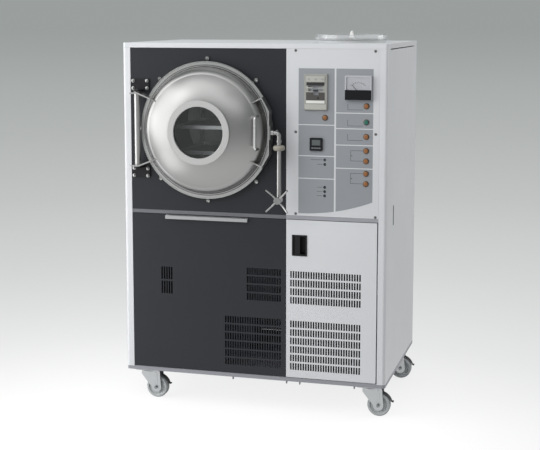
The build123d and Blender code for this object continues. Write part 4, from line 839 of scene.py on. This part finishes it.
    def recess(self, form, rim, cross, face):
        """Flat ring from a round rim to a cross, and the cross's walls and floor."""
        outer = [form.verts.new(at(x, face, z)) for x, z in rim]
        inner = [form.verts.new(at(x, face, z)) for x, z in cross]
        floor = [form.verts.new(at(x, face + 1.1, z)) for x, z in cross]
        loops = [form.edges.new((ring[i], ring[(i + 1) % len(ring)]))
                 for ring in (outer, inner) for i in range(len(ring))]
        bmesh.ops.triangle_fill(form, edges=loops, use_beauty=True)
        for i in range(len(inner)):
            j = (i + 1) % len(inner)
            form.faces.new((inner[i], inner[j], floor[j], floor[i]))
        form.faces.new(floor)

    def meter(self):
        """White card with an arc of ticks behind a clear cover."""
        (x0, x1), (front, _), (z0, z1) = extent("meter_case")
        band = 37.0                 # height of the black band at the foot
        card = (x0 + 4.1, x1 - 4.1), (z0 + band - 2.8, z1 - 4.1)
        pivot = ((x0 + x1) / 2, z0 + band - 8)
        white = plastic("meter card", (0.86, 0.86, 0.92), 0.55)
        piece("meter_card", "cabinet", white,
              lambda form: cuboid(form, card[0], (front + 6.9, front + 7.8), card[1]), smooth=False)
        ink = plastic("scale ink", (0.12, 0.12, 0.13), 0.6)
        deep = (front + 6.75, front + 6.95)
        first, sweep = 138, 96      # degrees of the scale's start and of its arc

        def scale(form):
            for i in range(31):
                angle = math.radians(first - i * sweep / 30)
                length, width = (3.4, 0.35) if i % 5 else (6.0, 0.6)
                self.tick(form, pivot, angle, 34.0, 34.0 + length, width, deep)
            arc = [math.radians(first - i * sweep / 40) for i in range(41)]
            for a, b in zip(arc, arc[1:]):
                points = [(pivot[0] + r * math.cos(t), pivot[1] + r * math.sin(t))
                          for r, t in ((33.6, a), (34.3, a), (34.3, b), (33.6, b))]
                solid(form, points, *deep)

        piece("meter_scale", "cabinet", ink, scale, smooth=False)
        glass = clear("meter cover", (0.97, 0.97, 0.97), 0.03, 1.45)
        piece("meter_cover", "cabinet", glass,
              lambda form: cuboid(form, (x0 + 4.2, x1 - 4.2), (front + 0.4, front + 1.6),
                                  (z0 + band + 0.2, z1 - 4.2)), smooth=False)
        black = plastic("meter band", (0.006, 0.006, 0.008), 0.3, Specular_IOR_Level=0.3)
        piece("meter_band", "cabinet", black,
              lambda form: cuboid(form, (x0 + 0.2, x1 - 0.2), (front - 0.9, front),
                                  (z0 + 0.3, z0 + band)), smooth=False, bevel=0.0006)

    def tick(self, form, pivot, angle, near, far, width, depth):
        """Line of the scale that points away from the pivot."""
        c, s = math.cos(angle), math.sin(angle)
        half = width / 2
        corners = [(pivot[0] + r * c - w * s, pivot[1] + r * s + w * c)
                   for r, w in ((near, -half), (far, -half), (far, half), (near, half))]
        solid(form, corners, *depth)

    def breaker(self):
        """Covers, test button and terminal screws on the breaker's face."""
        (x0, x1), (front, _), (_, z1) = extent("breaker_case")
        inner = (x0 + 8, x1 - 10)
        centre = (x0 + x1) / 2
        pale = plastic("pale breaker cover", (0.50, 0.50, 0.46), 0.4)
        dark = plastic("brown breaker cover", (0.075, 0.07, 0.065), 0.45)
        white = plastic("breaker name strip", (0.82, 0.83, 0.80), 0.35)
        black = plastic("black breaker recess", (0.015, 0.015, 0.016), 0.5)

        def slab(name, finish, z, proud, x=inner):
            """Cover that stands a little proud of the case."""
            piece(name, "cabinet", finish,
                  lambda form: cuboid(form, x, (front - proud, front + 0.1), z), bevel=0.0005)

        slab("breaker_top_cover", pale, (z1 - 29, z1 - 8), 2.2)
        slab("breaker_row", black, (z1 - 42.5, z1 - 31), 0.8,
             (inner[0] + 1, inner[1] - 1))
        for side, span in (("left", (inner[0], centre - 11)), ("right", (centre + 11, inner[1]))):
            slab(f"breaker_{side}_stripe", pale, (z1 - 53, z1 - 49.5), 0.7, x=span)
            slab(f"breaker_{side}_lower_stripe", pale, (z1 - 67, z1 - 64.5), 0.7, x=span)
            slab(f"breaker_{side}_cover", dark, (z1 - 77.5, z1 - 67), 0.8, x=span)
        slab("breaker_rating_cover", dark, (z1 - 96.5, z1 - 77.5), 1.2)
        slab("breaker_strip", white, (z1 - 108, z1 - 97.5), 1.8)
        slab("breaker_bottom_cover", pale, (z1 - 131, z1 - 111), 2.6, x=(x0 + 3, x1 - 3))
        button = ((0, front - 3.2), (3.2, front - 3.2), (4.0, front - 2.6), (4.0, front - 1.0))
        piece("breaker_test_button", "cabinet", black,
              lambda form: turned(form, button, x0 + 53.0, z1 - 88.0))
        head = ((4.4, front - 2.1), (4.4, front - 2.9), (3.6, front - 3.1), (0, front - 3.1))

        def terminals(form):
            for i in range(3):
                x = inner[0] + 10 + i * (inner[1] - inner[0] - 20) / 2
                turned(form, head, x, z1 - 19, 24)

        piece("breaker_terminals", "cabinet",
              polished("terminal screws", (0.5, 0.5, 0.5), 0.3), terminals)

    def controller(self):
        """Display window and key strip of the controller."""
        (x0, x1), (front, _), (z0, z1) = extent("temperature_controller")
        screen = plastic("display window", (0.12, 0.135, 0.135), 0.12)
        piece("controller_display", "cabinet", screen,
              lambda form: cuboid(form, (x0 + 8, x1 - 8), (front + 0.9, front + 1.4),
                                  (z1 - 28, z1 - 7.5)), smooth=False)
        keys = plastic("controller keys", (0.16, 0.17, 0.18), 0.5)

        def strip(form):
            width = (x1 - x0 - 12) / 4
            for i in range(4):
                left = x0 + 6 + i * width
                cuboid(form, (left + 0.5, left + width - 0.5), (front - 0.8, front + 0.1),
                       (z0 + 7.5, z0 + 12.5))

        piece("controller_keys", "cabinet", keys, strip, bevel=0.0004)


class FREEZE_DRYER_OT_machines(Piece, bpy.types.Operator):
    """Finish the pump, the compressor, the coil and the fan."""

    bl_idname = "freeze_dryer.machines"
    bl_label = "Machines"

    def execute(self, context):
        dress(("vacuum_pump",), painted("pump enamel", (0.13, 0.17, 0.22), 0.4, 0.0001))
        dress(("compressor",), painted("compressor enamel", (0.012, 0.012, 0.013), 0.3))
        # the coil's near-black colour is partly its own dark finish, partly painted shade behind
        # the slotted door
        dress(("condenser_coil",), painted("coil enamel and painted shade", (0.016, 0.016, 0.017), 0.5, gloss=0.3))
        dress(("fan_shroud", "fan_blade"), painted("black fan enamel", (0.02, 0.02, 0.022), 0.4))
        return {"FINISHED"}


class FREEZE_DRYER_OT_casters(Piece, bpy.types.Operator):
    """Finish the casters, and put a nut on each end of their axles."""

    bl_idname = "freeze_dryer.casters"
    bl_label = "Casters"

    def execute(self, context):
        zinc = polished("zinc plate", (0.50, 0.515, 0.525), 0.36)
        bolt = polished("axle bolts", (0.26, 0.27, 0.275), 0.3)
        dress(["caster_plates"] + ["fork_" + c for c in CORNERS], zinc)
        dress(["wheel_" + c for c in CORNERS], rubber("grey wheel rubber", (0.56, 0.59, 0.60)))
        dress(["pedal_" + c for c in CORNERS],
              painted("black pedal enamel", (0.015, 0.015, 0.016), 0.4))
        for corner in CORNERS:
            hub = middle("wheel_" + corner)
            front, back = extent("fork_" + corner)[1]
            for side, y, way in (("front", front, 1), ("back", back, -1)):
                nut = ((0, y - 0.6 * way), (5.2, y - 0.6 * way), (6.4, y + 0.6 * way),
                       (6.4, y + 2.9 * way))
                piece(f"axle_nut_{corner}_{side}", f"fork_{corner}_body", bolt,
                      lambda form: turned(form, nut, *hub, steps=6), smooth=False)
        return {"FINISHED"}


OPERATORS = (
    FREEZE_DRYER_OT_stage,
    FREEZE_DRYER_OT_casing,
    FREEZE_DRYER_OT_chamber,
    FREEZE_DRYER_OT_trap,
    FREEZE_DRYER_OT_controls,
    FREEZE_DRYER_OT_machines,
    FREEZE_DRYER_OT_casters,
)


class VIEW3D_PT_freeze_dryer(bpy.types.Panel):
    """List of the file's settings and operators."""

    bl_label = "Freeze dryer"
    bl_space_type = "VIEW_3D"
    bl_region_type = "UI"
    bl_category = "Freeze dryer"

    def draw(self, context):
        for kind in SETTINGS:
            group = settings(kind)
            for name in group.bl_rna.properties.keys():
                if name not in ("rna_type", "name"):
                    self.layout.prop(group, name)
        for operator in OPERATORS:
            self.layout.operator(operator.bl_idname)


SETTINGS = {
    "dryer_casing": CasingSettings,
    "dryer_metal": MetalSettings,
    "dryer_stage": StageSettings,
}


def register():
    """Make the settings, the operators and the panel known."""
    for group in SETTINGS.values():
        bpy.utils.register_class(group)
    for kind, group in SETTINGS.items():
        setattr(bpy.types.Scene, kind, bpy.props.PointerProperty(type=group))
    for operator in OPERATORS:
        bpy.utils.register_class(operator)
    bpy.utils.register_class(VIEW3D_PT_freeze_dryer)


def unregister():
    """Undo register."""
    bpy.utils.unregister_class(VIEW3D_PT_freeze_dryer)
    for operator in reversed(OPERATORS):
        bpy.utils.unregister_class(operator)
    for kind, group in SETTINGS.items():
        delattr(bpy.types.Scene, kind)
        bpy.utils.unregister_class(group)


def main():
    """Finish the machine."""
    register()
    for operator in OPERATORS:
        group, name = operator.bl_idname.split(".")
        getattr(getattr(bpy.ops, group), name)()


if __name__ == "__main__":
    main()
